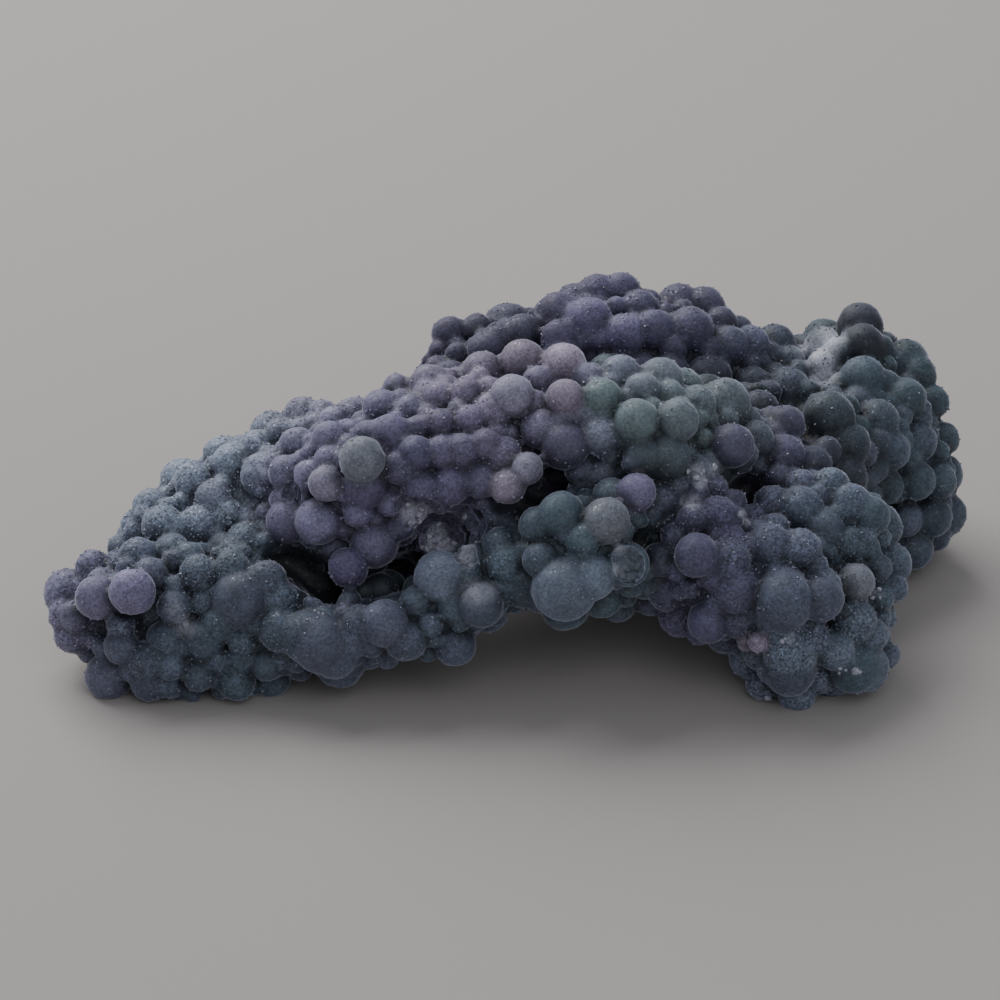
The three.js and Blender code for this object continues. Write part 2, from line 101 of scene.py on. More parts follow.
LIMBS: dict[str, Limb] = {
    "toe": Limb(
        ((-26.6, -5.5, 4.2, 2.5), (-23.5, -6.0, 5.2, 3.2), (-18.5, -5.5, 5.2, 3.6), (-13, -5, 6.0, 3.8)),
        (Tone.LAVENDER, Tone.SLATE, Tone.TEAL, Tone.SLATE),
        0.85,
    ),
    "toe_foot": Limb(
        ((-24.0, -7.5, 2.3, 2.6), (-21.0, -8.0, 2.3, 2.6), (-17.0, -7.8, 2.4, 2.6)),
        (Tone.SLATE, Tone.SLATE, Tone.TEAL),
        0.5,
    ),
    "shelf_end": Limb(
        ((-18, -7.5, 3.8, 2.6), (-12.0, -8.5, 4.4, 2.5), (-7.5, -9.0, 5.2, 2.2)),
        (Tone.TEAL, Tone.SLATE, Tone.SLATE),
        0.5,
    ),
    "shelf": Limb(
        ((-7.5, -9.0, 5.2, 2.2), (-3.5, -8.8, 6.4, 2.2), (0, -7, 8.4, 2.6)),
        (Tone.SLATE, Tone.TEAL, Tone.TEAL),
        0.4,
    ),
    "slope": Limb(
        ((-22, -1, 6.2, 3.4), (-19, 1.0, 7.5, 3.8), (-15, 2.5, 9.0, 4.0), (-11, 2.5, 10.5, 4.0)),
        # Its two middle tones are lightened as painted light, where the light falls on the slope.
        (Tone.MIST, Tone.LIT_MIST, Tone.LIT_MIST, Tone.PEARL),
        0.7,
    ),
    "shoulder": Limb(
        ((-12.5, -1.0, 10.6, 3.6), (-9.5, -2.5, 12.0, 3.8), (-6.0, -2.5, 12.8, 4.0), (-2, -2.0, 13.4, 4.2)),
        (Tone.LAVENDER, Tone.LAVENDER, Tone.GRAPE, Tone.GRAPE),
        0.3,
    ),
    "belly": Limb(
        ((-14, -0.5, 6.6, 3.6), (-7, -1.0, 8.0, 3.8), (0, -1.5, 10.2, 3.6), (8, -1.0, 10.6, 3.8)),
        (Tone.PLUM, Tone.PLUM, Tone.PLUM, Tone.PLUM),
        0.9,
    ),
    "crest": Limb(
        ((-6, 0.5, 13.2, 3.8), (-1, 0.5, 14.2, 4.4), (4, 0.0, 14.6, 4.4)),
        (Tone.LAVENDER, Tone.ROSE, Tone.LAVENDER),
        0.25,
    ),
    "crest_end": Limb(
        ((4, 0.0, 14.6, 4.4), (9.5, -0.5, 14.2, 4.4), (13.5, 0.5, 12.6, 4.0)),
        (Tone.LAVENDER, Tone.MINT, Tone.MINT),
        0.25,
    ),
    "lobe": Limb(
        ((2, -5, 9.4, 4.0), (4.5, -7.5, 9.6, 3.6), (6.5, -7.5, 10.4, 3.2), (8.5, -6.0, 9.0, 3.4)),
        (Tone.SLATE, Tone.TEAL, Tone.TEAL, Tone.PINE),
        0.3,
    ),
    "leg": Limb(
        ((12.5, -4.5, 9.6, 4.4), (14, -7.0, 8.0, 3.6), (18.5, -6.5, 6.8, 4.2)),
        (Tone.PLUM, Tone.GRAPE, Tone.SLATE),
        0.9,
    ),
    "leg_foot": Limb(
        ((18.5, -6.5, 6.8, 4.2), (19.5, -8.0, 4.2, 3.8), (22.0, -7.0, 3.0, 3.4)),
        (Tone.TEAL, Tone.MIST, Tone.MIST),
        1.0,
    ),
    "leg_side": Limb(
        ((18, -2, 9.2, 3.6), (20.5, -3.0, 9.4, 3.0), (23, -3.5, 8.8, 2.6), (23.5, -5.0, 6.0, 2.6)),
        (Tone.PLUM, Tone.TEAL, Tone.TEAL, Tone.TEAL),
        0.5,
    ),
    "saddle": Limb(
        ((13.5, 0.5, 10.8, 4.0), (18, 2.5, 10.2, 4.0), (21, 5.5, 9.6, 4.2), (24, 9.5, 8.4, 5.0)),
        (Tone.PLUM, Tone.DUSK, Tone.MOSS, Tone.TEAL),
        0.4,
    ),
    "far_lobe": Limb(
        ((24.5, 11.5, 8.4, 5.4), (24.0, 14.0, 10.2, 4.6), (26.6, 10.0, 6.6, 4.2), (27.0, 9.5, 3.6, 3.8)),
        (Tone.TEAL, Tone.MOSS, Tone.TEAL, Tone.SLATE),
        0.3,
    ),
    "ridge": Limb(
        ((-1.8, 12, 12.0, 3.6), (3, 13, 12.4, 4.2), (8, 13.5, 13.0, 4.6)),
        (Tone.DUSK, Tone.DUSK, Tone.GRAPE),
        0.3,
    ),
    "ridge_end": Limb(
        ((8, 13.5, 13.0, 4.6), (12.5, 13.5, 12.4, 4.6), (17.5, 13.0, 10.4, 4.0), (22, 13, 9.6, 4.2)),
        (Tone.GRAPE, Tone.DUSK, Tone.SLATE, Tone.TEAL),
        0.35,
    ),
    "valley": Limb(
        ((-9, 4, 9.2, 4.2), (-3, 6, 10.2, 4.2), (4, 6.5, 10.4, 4.2), (11, 6.5, 10.2, 4.2), (17, 7, 9.8, 4.2)),
        (Tone.LAVENDER, Tone.GRAPE, Tone.PLUM, Tone.MOSS, Tone.MOSS),
        0.5,
    ),
    "back_foot": Limb(
        ((3, 13, 7.0, 4.6), (4, 12.5, 4.4, 4.2), (5, 12, 3.0, 3.4)),
        (Tone.GRAPE, Tone.SLATE, Tone.TEAL),
        0.5,
    ),
    "back_left_foot": Limb(
        ((-14, 5, 6.2, 4.0), (-15.5, 5.5, 3.0, 3.4)),
        (Tone.MIST, Tone.TEAL),
        0.6,
    ),
}

# The grapes that show from the front, clump by clump. Each is across, up and radius as the eye sees it.
FRONT_GRAPES: dict[str, tuple[tuple[float, float, float], ...]] = {
    "crest": (
        (0.8, 6.9, 1.5), (9.1, 5.3, 1.5), (11.8, 5.3, 1.45), (6.8, 6.8, 1.35), (4.3, 6.8, 1.3),
        (1.5, 9.3, 1.35), (4.1, 9.3, 1.45), (7.0, 8.6, 1.15), (9.3, 8.7, 1.2), (9.5, 7.3, 1.2),
        (11.3, 8.4, 1.45), (12.3, 7.7, 1.3), (13.8, 6.9, 1.5), (14.9, 6.9, 1.45), (11.1, 2.9, 1.6),
        (9.6, 2.9, 1.45), (-0.5, 5.9, 1.35), (4.3, 3.6, 1.65), (2.7, 4.7, 1.35), (6.7, 4.3, 1.4),
        (2.9, 8.5, 1.2),
    ),
    "shoulder": (
        (-9.2, 2.7, 1.55), (-11.6, 1.1, 1.2), (-9.0, 0.9, 1.5), (-8.4, -2.9, 1.65), (-10.1, -4.5, 1.35),
        (-14.1, -1.4, 1.5), (-12.1, -1.4, 1.6), (1.8, 2.1, 1.1), (0.5, 0.9, 1.2), (-5.6, 3.1, 1.25),
        (-3.9, 3.2, 1.15), (-2.5, 3.3, 1.2), (-1.0, 3.7, 1.15), (0.2, 3.0, 1.3), (-13.2, 5.6, 1.3),
        (-13.5, 3.6, 1.3), (-14.2, 1.8, 1.25), (-11.3, 4.0, 1.3), (-9.9, 5.5, 1.3), (-7.9, 6.1, 1.3),
        (-6.9, 7.5, 1.0), (-5.1, 7.7, 1.0), (-3.2, 8.2, 1.15), (-4.0, 6.8, 1.15), (-2.3, 7.0, 1.15),
        (-6.0, 6.0, 1.05), (-4.0, 5.0, 1.15), (-2.0, 5.3, 1.05), (-6.7, 2.2, 1.2), (-1.3, 1.3, 1.2),
        (-3.3, 1.0, 1.35), (-5.3, 0.7, 1.35), (-0.7, 2.0, 1.15), (-11.0, -3.0, 1.2), (-6.7, -1.7, 1.05),
    ),
    "lobe": (
        (4.3, -5.9, 2.2), (6.1, -5.1, 1.65), (4.1, -1.0, 1.6), (7.1, -1.4, 1.6), (6.8, 1.5, 1.35),
        (5.3, 2.0, 1.0), (9.1, 0.5, 1.1), (10.7, -0.1, 1.2), (10.0, -1.0, 1.1), (2.5, -1.7, 1.3),
        (5.5, -2.7, 1.2), (0.4, -4.2, 1.35), (1.5, -5.9, 1.3), (7.9, -7.0, 1.15), (8.6, -4.2, 1.15),
        (8.7, -5.5, 1.0), (-1.3, -7.0, 1.55), (-4.0, -5.1, 1.75), (0.0, -3.0, 1.2), (-2.3, -4.7, 1.2),
        (2.7, -4.0, 1.2),
    ),
    "toe": (
        (-26.9, -6.5, 1.45), (-24.5, -6.1, 1.55), (-27.1, -4.5, 1.2), (-25.1, -3.3, 1.1),
        (-28.5, -9.0, 1.25), (-28.3, -7.7, 1.05), (-27.3, -9.9, 1.0), (-25.2, -9.8, 1.2),
        (-23.4, -12.2, 1.25), (-23.5, -10.7, 1.3), (-20.1, -11.7, 1.1), (-17.6, -12.1, 1.3),
        (-15.5, -10.9, 1.2), (-22.3, -9.3, 1.3), (-19.7, -9.3, 1.45), (-17.3, -6.7, 2.0),
        (-21.7, -7.1, 1.2), (-15.5, -5.3, 1.3), (-14.7, -6.7, 1.3), (-18.7, -8.3, 1.3), (-25.3, -8.3, 0.95),
    ),
    "shelf": (
        (-12.9, -9.1, 1.75), (-14.7, -8.7, 1.45), (-11.1, -10.3, 1.65), (-9.3, -8.3, 1.35), (-7.7, -8.2, 1.6),
        (-6.3, -9.3, 1.45), (-4.8, -10.0, 0.8), (-3.0, -9.7, 1.4), (-10.0, -9.3, 1.3),
    ),
    "slope": (
        (-19.1, 0.1, 1.25), (-23.2, -0.5, 1.3), (-20.5, 1.3, 1.3), (-17.9, 2.5, 1.3), (-16.3, 3.6, 1.1),
        (-21.9, -3.5, 1.3), (-20.1, -1.6, 1.3), (-19.1, -2.3, 1.15), (-16.8, -1.6, 1.3), (-16.9, -2.7, 1.3),
        (-18.3, -1.0, 1.2), (-21.7, -2.0, 1.2), (-23.3, -5.0, 1.2), (-20.1, -4.9, 1.3), (-17.9, -4.7, 1.3),
    ),
    "leg": (
        (15.5, 3.6, 1.5), (13.2, 1.7, 1.3), (18.9, 2.9, 1.5), (18.1, -0.2, 1.2), (16.7, -1.3, 1.05),
        (14.5, -0.9, 1.2), (12.8, -1.3, 1.05), (13.1, -3.7, 1.5), (13.9, -8.1, 1.45), (10.7, -4.0, 1.2),
        (11.2, -6.0, 1.45), (12.0, -7.7, 1.45), (10.0, -6.7, 1.05), (15.3, -4.0, 1.45), (15.7, -6.0, 1.6),
        (16.0, -8.0, 1.3), (18.9, -6.0, 1.65), (18.7, -7.7, 1.75), (21.4, -5.9, 1.45), (23.7, -5.5, 1.3),
        (25.3, -6.5, 1.0), (17.2, -9.5, 0.7), (19.3, -10.0, 1.85), (24.3, -11.2, 1.65), (26.2, -10.5, 0.9),
        (19.8, -12.9, 1.35), (17.5, -12.3, 1.15), (18.3, -11.2, 1.2), (22.0, -12.7, 0.95), (13.1, -9.8, 1.0),
        (23.5, -8.1, 1.6), (24.7, -9.0, 1.2), (22.3, -10.0, 1.35),
    ),
    "saddle": (
        (22.9, 1.5, 1.6), (25.7, 0.9, 1.2), (24.7, -1.1, 1.35), (21.4, -2.0, 1.6), (23.2, -3.0, 1.35),
        (25.2, -4.5, 0.95), (20.0, -3.3, 1.45), (18.0, -3.0, 1.45), (20.0, -0.7, 1.6), (23.3, -0.3, 1.45),
        (20.8, 2.3, 1.35),
    ),
    "far_lobe": (
        (24.1, 12.1, 1.55), (24.2, 10.3, 1.45), (21.5, 10.4, 1.2), (21.5, 9.0, 1.05), (18.3, 10.3, 1.45),
        (16.7, 10.3, 1.35), (27.1, 9.3, 1.45), (28.3, 8.7, 1.35), (29.2, 6.7, 1.2), (29.5, 4.1, 1.15),
        (29.2, 1.3, 1.25), (28.7, -1.1, 1.45), (27.0, -1.3, 1.2), (24.2, 8.0, 1.6), (25.2, 5.3, 1.45),
        (27.8, 3.9, 1.35), (21.9, 5.5, 1.8), (19.1, 7.3, 1.6), (16.8, 7.6, 1.35), (23.3, 3.7, 1.45),
        (17.3, 6.0, 1.35), (19.0, 5.0, 1.35), (27.0, 6.7, 1.45), (26.0, 3.3, 1.35), (27.7, 1.3, 1.35),
    ),
    "ridge": (
        (-3.4, 11.1, 1.25), (-1.5, 11.3, 1.15), (0.0, 10.7, 1.2), (1.5, 11.1, 1.35), (3.9, 12.3, 1.6),
        (5.9, 11.9, 1.65), (6.5, 13.7, 1.4), (8.1, 14.0, 1.35), (5.0, 13.3, 1.2), (9.3, 12.7, 1.35),
        (11.9, 13.0, 1.45), (13.6, 12.8, 1.45), (10.3, 11.3, 1.45), (12.7, 11.3, 1.6), (14.7, 11.7, 1.2),
        (15.3, 10.3, 1.35), (8.3, 11.0, 1.45), (4.0, 10.7, 1.35), (-0.9, 9.9, 1.35), (10.7, 13.3, 1.35),
    ),
}

# The front grapes that stand out from those round them, by colour. Each is across and up as in its row, then
# how far it stands towards the eye from where it would sit, in millimetres.
MARKED_GRAPES: dict[Tone, tuple[tuple[float, float, float], ...]] = {
    Tone.SAGE: ((-9.2, 2.7, 1.7), (23.7, -5.5, 1.3), (7.1, -1.4, 0.3)),
    Tone.PEARL: ((-11.6, 1.1, 0.5), (1.8, 2.1, 2.4), (0.8, 6.9, 0.7)),
    Tone.ROSE: ((4.3, 6.8, 0.5), (0.5, 0.9, 1.5), (17.2, -9.5, 1.8)),
    Tone.MINT: ((6.8, 6.8, 0.5), (9.1, 5.3, 0.8), (11.8, 5.3, 0.9), (7.0, 8.6, 0.6)),
    Tone.PINE: ((11.1, 2.9, 0.4), (9.6, 2.9, 0.2)),
    Tone.ASH: ((4.3, 3.6, 0.4), (15.5, 3.6, 1.0)),
    Tone.GRAPE: (
        (-9.0, 0.9, 0.0), (-10.1, -4.5, 2.0), (13.1, -3.7, 1.1), (13.9, -8.1, 1.2), (-5.6, 3.1, 0.4),
    ),
    Tone.LAVENDER: (
        (-8.4, -2.9, 2.2), (-14.1, -1.4, 0.4), (-12.1, -1.4, 0.6), (-26.9, -6.5, 1.0), (-24.5, -6.1, 1.2),
        (2.9, 8.5, -1.8),
    ),
    Tone.FIR: ((24.1, 12.1, 0.1), (24.2, 10.3, 0.0)),
    Tone.SLATE: (
        (-1.3, -7.0, 0.6), (8.6, -4.2, 0.5), (-17.3, -6.7, 0.1), (-3.0, -9.7, 0.4), (-7.7, -8.2, 0.4),
    ),
    Tone.TEAL: ((4.1, -1.0, 0.4),),
    Tone.MIST: ((6.1, -5.1, 0.2), (4.3, -5.9, 0.5), (-4.0, -5.1, 0.6)),
}


@dataclass(frozen=True)
class LoneGrape:
    """A grape that stands out over its neighbours, besides those of the rows.

    Attributes:
        across: How far the eye sees it to the right.
        up: How far the eye sees it up.
        radius: Its radius as the eye sees it, in millimetres.
        tone: Its colour.
        proud: How far it stands towards the eye from where it would sit, in millimetres.
    """

    across: float
    up: float
    radius: float
    tone: Tone
    proud: float


LONE_GRAPES: tuple[LoneGrape, ...] = tuple(
    LoneGrape(*row)
    for row in (
        (18.95, -6.75, 1.95, Tone.SLATE, 0.9), (21.4, -6.6, 1.55, Tone.SLATE, 0.7),
        (16.4, -9.5, 0.6, Tone.ROSE, 1.8), (23.6, -11.1, 1.8, Tone.TEAL, 0.2),
        (9.1, 0.5, 1.3, Tone.LAVENDER, 3.6), (8.7, 2.4, 0.6, Tone.SLATE, 1.2),
        (8.5, -4.3, 1.5, Tone.TEAL, 0.5), (-8.0, -5.8, 0.6, Tone.PLUM, 1.5),
        (-11.9, -9.6, 2.0, Tone.SLATE, 0.3), (19.3, -11.3, 1.8, Tone.SLATE, 0.1),
        (1.5, 9.2, 1.5, Tone.ROSE, 8.9), (4.2, 8.9, 1.55, Tone.ROSE, 9.3),
        # The dark MOSS grapes sunk into the recess under the shoulder are painted shade: dark lumps in its
        # shadow.
        (-6.8, -5.6, 1.3, Tone.MOSS, -1.0), (-9.2, -6.1, 1.0, Tone.MOSS, -0.8),
        (-5.6, -5.9, 0.9, Tone.MOSS, -0.8), (-8.0, -6.1, 1.3, Tone.MOSS, -1.2),
        (-7.4, -5.8, 1.2, Tone.MOSS, -2.2),
    )
)


class Dice:
    """A repeatable stream of numbers between two limits."""

    def __init__(self, seed: int) -> None:
        """Starts the stream.

        Args:
            seed: Where the stream starts.
        """
        self.state = seed

    def roll(self, low: float, high: float) -> float:
        """Gives the next number.

        Args:
            low: The lowest that it can be.
            high: The highest that it can be.

        Returns:
            A number between the two.
        """
        self.state = (self.state * 1664525 + 1013904223) % 2**32
        return low + (high - low) * self.state / 2**32


@dataclass
class Balls:
    """Some balls in millimetres, in the layout's own axes.

    Attributes:
        centres: Their centres, one row each.
        radii: Their radii.
        looks: How they look, one row each: colour in linear light, then how sugary they are.
    """

    centres: np.ndarray = field(default_factory=lambda: np.zeros((0, 3)))
    radii: np.ndarray = field(default_factory=lambda: np.zeros(0))
    looks: np.ndarray = field(default_factory=lambda: np.zeros((0, 4)))

    def add(self, centre: np.ndarray, radius: float, look: np.ndarray) -> None:
        """Adds one ball.

        Args:
            centre: Its centre.
            radius: Its radius.
            look: Its colour in linear light, then how sugary it is.
        """
        self.centres = np.vstack([self.centres, centre])
        self.radii = np.append(self.radii, radius)
        self.looks = np.vstack([self.looks, look])

    def joined(self, other: "Balls") -> "Balls":
        """Gives these balls and some others together.

        Args:
            other: The others.

        Returns:
            A new set with both.
        """
        return Balls(
            np.vstack([self.centres, other.centres]),
            np.append(self.radii, other.radii),
            np.vstack([self.looks, other.looks]),
        )

    def picked(self, rows: np.ndarray) -> "Balls":
        """Gives some of these balls.

        Args:
            rows: True for each ball to keep.

        Returns:
            A new set with those.
        """
        return Balls(self.centres[rows], self.radii[rows], self.looks[rows])

    def clear(self, centre: np.ndarray, radius: float, spacing: float) -> bool:
        """Tells whether one more ball would keep its distance from these.

        Args:
            centre: Its centre.
            radius: Its radius.
            spacing: The closest that two centres come, as a share of their two radii.

        Returns:
            True where it would.
        """
        gaps = np.linalg.norm(self.centres - centre, axis=1)
        return bool(np.all(gaps > spacing * (self.radii + radius)))


@dataclass(frozen=True)
class Sight:
    """The line of sight that the layout is made along.

    Attributes:
        tilt: How far it looks down, in radians.
        distance: How far the eye is from the middle of the stone, in millimetres.
        aim_height: How high the place is that the eye looks at, in millimetres.
    """

    tilt: float = math.radians(28)
    distance: float = 300.0
    aim_height: float = 9.6

    def place(self, across: float, deep: float, up: float) -> np.ndarray:
        """Gives a place that is stated as the eye sees it.

        Args:
            across: How far it is to the right of the aim.
            deep: How far it is beyond the aim.
            up: How far it is above the aim.

        Returns:
            The place in the layout's axes.
        """
        sine, cosine = math.sin(self.tilt), math.cos(self.tilt)
        return np.array([across, deep * cosine + up * sine, up * cosine - deep * sine + self.aim_height])

    def eye(self) -> np.ndarray:
        """Gives where the eye is."""
        return self.place(0, -self.distance, 0)
    def ray(self, across: float, up: float) -> np.ndarray:
        """Gives the direction from the eye to a place on the upright picture through the aim."""
        line = self.place(across, 0, up) - self.eye()
        return line / np.linalg.norm(line)

    def past(self, points: np.ndarray, across: float, up: float) -> tuple[np.ndarray, np.ndarray]:
        """Measures how a line of sight goes past some points.

        Args:
            points: The points.
            across: Where the line goes through the upright picture, to the right of the aim.
            up: Where it does, above the aim.

        Returns:
            How far along the line each point is, and how far beside it.
        """
        eye, line = self.eye(), self.ray(across, up)
        along = (points - eye) @ line
        return along, np.linalg.norm(eye + np.outer(along, line) - points, axis=1)


@dataclass(frozen=True)
class Growth:
    """How grapes spread over the body where no row places them.

    Attributes:
        radii: Smallest and largest radius.
        area: The skin that each place is given, in square millimetres.
        sinks: Least and most that a grape is sunk, as a share of its radius.
        spacing: Closest that two centres come, as a share of their radii.
        seed: Where the dice start.
    """

    radii: tuple[float, float]
    area: float
    sinks: tuple[float, float]
    spacing: float
    seed: int


@dataclass
class StoneLayout:
    """Where the limbs and grapes of the stone are.

    Attributes:
        sight: The line of sight that the front is laid out along.
        ball_step: Distance between the balls along a limb, as a share of their radius.
        sink: How far a front grape's centre lies under the body's skin, as a share of its radius.
        reach: How far it may stand off the skin, as a share of its radius.
        footing: Lowest that a grape lies over the resting surface, as a share of its radius.
        front_spacing: Closest for two front grapes of the solid, as a share of their radii.
        crowded_spacing: Closest for the front grapes that only the fine skin has.
        look_spread: How far the looks of two limbs run into each other, in millimetres.
        marked_sugar: How sugary a marked grape is, as a share of the skin round it.
        hidden: The grapes of the back and the underside.
        fill: The fine grapes that fill the gaps.
    """

    sight: Sight = field(default_factory=Sight)
    ball_step: float = 0.55
    sink: float = 0.1
    reach: float = 0.3
    footing: float = 0.6
    front_spacing: float = 0.66
    crowded_spacing: float = 0.45
    look_spread: float = 0.9
    marked_sugar: float = 0.35
    hidden: Growth = Growth((1.3, 1.8), 2.6, (0.1, 0.1), 0.8, 20)
    fill: Growth = Growth((0.6, 1.1), 0.75, (0.0, 0.5), 0.62, 7)

    def body(self) -> Balls:
        """Sets the balls of all the limbs.

        Returns:
            The balls, limb by limb.
        """
        balls = Balls()
        for limb in LIMBS.values():
            knots = np.array(limb.knots)
            looks = np.array([[*tone.linear(), limb.sugar] for tone in limb.tones])
            for start, end, first, last in zip(knots, knots[1:], looks, looks[1:]):
                step = self.ball_step * max(start[3], end[3])
                count = max(1, math.ceil(np.linalg.norm(end[:3] - start[:3]) / step))
                for share in np.arange(count) / count:
                    knot = start + (end - start) * share
                    balls.add(knot[:3], knot[3], first + (last - first) * share)
            balls.add(knots[-1][:3], knots[-1][3], looks[-1])
        return balls

    def front_place(self, body: Balls, across: float, up: float, size: float) -> tuple[np.ndarray, float]:
        """Finds where a front grape sits: where its line of sight meets the body, or beside the nearest limb.

        Args:
            body: The balls of the body.
            across: How far the eye sees it to the right.
            up: How far the eye sees it up.
            size: Its radius at the distance of the aim.

        Returns:
            Its centre and its radius.
        """
        eye, line = self.sight.eye(), self.sight.ray(across, up)
        reach = body.radii - self.sink * size
        along, miss = self.sight.past(body.centres, across, up)
        over = np.maximum(0, miss - reach)
        depth = along - np.sqrt(np.maximum(0, reach**2 - miss**2))
        met = over == 0
        carrier = int(np.argmin(np.where(met, depth, np.inf) if met.any() else over))
        away = eye + line * depth[carrier] - body.centres[carrier]
        most = body.radii[carrier] + self.reach * size
        away *= min(1, most / np.linalg.norm(away))
        return body.centres[carrier] + away, size * depth[carrier] / self.sight.distance

    def look_at(self, body: Balls, centre: np.ndarray) -> np.ndarray:
        """Blends the body's looks at a place.

        Args:
            body: The balls of the body.
            centre: The place.

        Returns:
            The colour in linear light, then how sugary it is.
        """
        gaps = np.linalg.norm(body.centres - centre, axis=1) - body.radii
        weights = np.exp(-(gaps - gaps.min()) / self.look_spread)
        return weights @ body.looks / weights.sum()

    def front(self, body: Balls) -> tuple[Balls, Balls]:
        """Finds the front grapes.

        Args:
            body: The balls of the body.

        Returns:
            The grapes as the solid has them, and as the fine skin has them, crowded and proud ones included.
        """
        plain, fine = Balls(), Balls()
        marks = {row[:2]: (tone, row[2]) for tone, rows in MARKED_GRAPES.items() for row in rows}
        for rows in FRONT_GRAPES.values():
            for across, up, size in rows:
                centre, radius = self.front_place(body, across, up, size)
                tone, proud = marks.get((across, up), (None, 0.0))
                look = self.look_at(body, centre)
                if tone:
                    look = np.array([*tone.linear(), self.marked_sugar * look[3]])
                stand = centre - self.sight.ray(across, up) * proud
                if plain.clear(centre, radius, self.front_spacing):
                    plain.add(centre, radius, look)
                    fine.add(stand, radius, look)
                elif tone or fine.clear(centre, radius, self.crowded_spacing):
                    fine.add(stand, radius, look)
        for grape in LONE_GRAPES:
            centre, radius = self.front_place(body, grape.across, grape.up, grape.radius)
            look = np.array([*grape.tone.linear(), self.marked_sugar * self.look_at(body, centre)[3]])
            fine.add(centre - self.sight.ray(grape.across, grape.up) * grape.proud, radius, look)
        return plain, fine

    def spread(self, body: Balls, grapes: Balls, growth: Growth) -> Balls:
        """Spreads grapes evenly over the body wherever there is room.

        Args:
            body: The balls of the body.
            grapes: The grapes that are there already.
            growth: How the new ones spread.

        Returns:
            The new grapes.
        """
        dice = Dice(growth.seed)
        added, taken = Balls(), grapes
        least, most = growth.sinks
        for index, (middle, size) in enumerate(zip(body.centres, body.radii)):
            count = math.ceil(4 * math.pi * size**2 / growth.area)
            for i in range(count):
                radius = dice.roll(*growth.radii)
                sink = least if least == most else dice.roll(least, most)
                height = 1 - (2 * i + 1) / count
                turn = GOLDEN_ANGLE * i + index
                level = math.sqrt(1 - height**2)
                direction = np.array([level * math.cos(turn), level * math.sin(turn), height])
                centre = middle + direction * (size - sink * radius)
                if centre[2] <= self.footing * radius:
                    continue
                gaps = np.linalg.norm(body.centres - centre, axis=1) - body.radii
                if int(np.argmin(gaps)) == index and taken.clear(centre, radius, growth.spacing):
                    added.add(centre, radius, self.look_at(body, centre))
                    taken = grapes.joined(added)
        return added


@dataclass(frozen=True)
class Spot:
    """A round patch of the skin, as the eye sees it from the front.

    Attributes:
        across: How far it is to the right.
        up: How far it is up.
        radius: How wide it is, in millimetres.
        white: How white the skin is there, from 0 to 1.
        crystals: How thickly crystals grow there, from 0 to 1.
    """

    across: float
    up: float
    radius: float
    white: float = 0.0
    crystals: float = 0.0


# Where the skin is broken, so that the white quartz inside it shows. The small spots on the leg stand in for
# glints: their crystals catch the light, and their faint white is painted highlight. Each row has what a Spot
# has.
QUARTZ_AND_GLINT_SPOTS: tuple[Spot, ...] = tuple(
    Spot(*row)
    for row in (
        (22.0, 10.7, 0.9, 1.0), (21.4, 9.7, 1.0, 1.0), (21.6, 8.6, 0.8, 0.9), (20.6, 10.2, 0.8, 0.7),
        (13.2, 2.0, 0.4, 0.6, 0.1), (13.35, 1.2, 0.4, 0.8, 0.15), (14.3, 2.1, 0.4, 0.4, 0.1),
        (12.9, -0.15, 0.45, 0.8), (12.4, -0.2, 0.3, 0.7), (16.1, -0.9, 0.2, 1.0), (16.4, -1.4, 0.2, 1.0),
        (-2.2, -3.1, 0.4, 0.8, 0.2), (-2.3, -3.8, 0.45, 0.9, 0.2), (-6.0, -0.9, 0.5, 1.0, 0.7),
        (-5.1, -1.1, 0.55, 1.0, 0.8), (-5.5, -1.6, 0.3, 0.8, 0.5), (-4.2, -2.2, 0.55, 1.0, 0.6),
        (-4.3, -3.0, 0.55, 1.0, 0.8), (-3.5, -3.1, 0.4, 0.9, 0.5), (-2.9, -1.8, 0.5, 0.2, 0.4),
        (-21.7, -7.2, 0.5, 0.3), (-21.0, -8.4, 0.6, 0.6), (-1.7, -6.2, 0.8, 0.4), (-0.8, -6.1, 0.6, 0.35),
        # From here on, small spots on the leg whose faint white is painted highlight, with crystals that
        # glint.
        (23.7, -11.4, 0.2, 0.2, 1.0), (20.0, -13.3, 0.18, 0.2, 1.0), (18.1, -11.7, 0.18, 0.2, 1.0),
        (19.3, -9.3, 0.35, 0.4, 0.2), (25.3, -6.3, 0.2, 0.3, 0.8), (22.9, -11.3, 0.15, 0.1, 0.9),
        (17.4, -13.4, 0.2, 0.2, 0.9), (7.9, -3.2, 0.35, 0.5), (7.8, -4.6, 0.3, 0.5),
    )
)

# Where no large grapes grow between those of the rows.
BARE_SPOTS: tuple[Spot, ...] = tuple(
    Spot(*row)
    for row in (
        (-9.3, -1.0, 1.6), (-10.5, -5.0, 2.2), (-7.0, -5.4, 2.0), (-13.0, -4.6, 2.2), (-4.0, -2.0, 2.4),
        (13.0, 0.8, 1.8), (5.0, 8.9, 1.0), (2.2, 8.0, 1.2), (17.0, 0.3, 1.4), (10.8, -2.3, 1.4),
        (12.5, -5.8, 1.6),
    )
)


@dataclass(frozen=True)
class Chip:
    """A hollow where the skin is broken away, as the eye sees it from the front.

    Attributes:
        across: How far it is to the right.
        up: How far it is up.
        radius: The radius of the ball that is taken out, in millimetres.
        bite: How deep it goes into the skin, in millimetres.
    """

    across: float
    up: float
    radius: float
    bite: float


CHIPS: tuple[Chip, ...] = tuple(
    Chip(*row)
    for row in (
        (-5.2, -1.5, 1.7, 1.0), (-3.9, -2.6, 1.9, 1.2), (-2.4, -1.7, 1.5, 0.8), (8.3, -3.6, 1.1, 0.8),
        (8.7, -4.8, 1.2, 0.9), (9.2, -4.1, 0.8, 0.7), (-13.9, 0.5, 0.8, 0.5), (-2.2, -3.5, 1.0, 0.35),
        (-5.9, -0.6, 1.2, 0.4),
    )
)
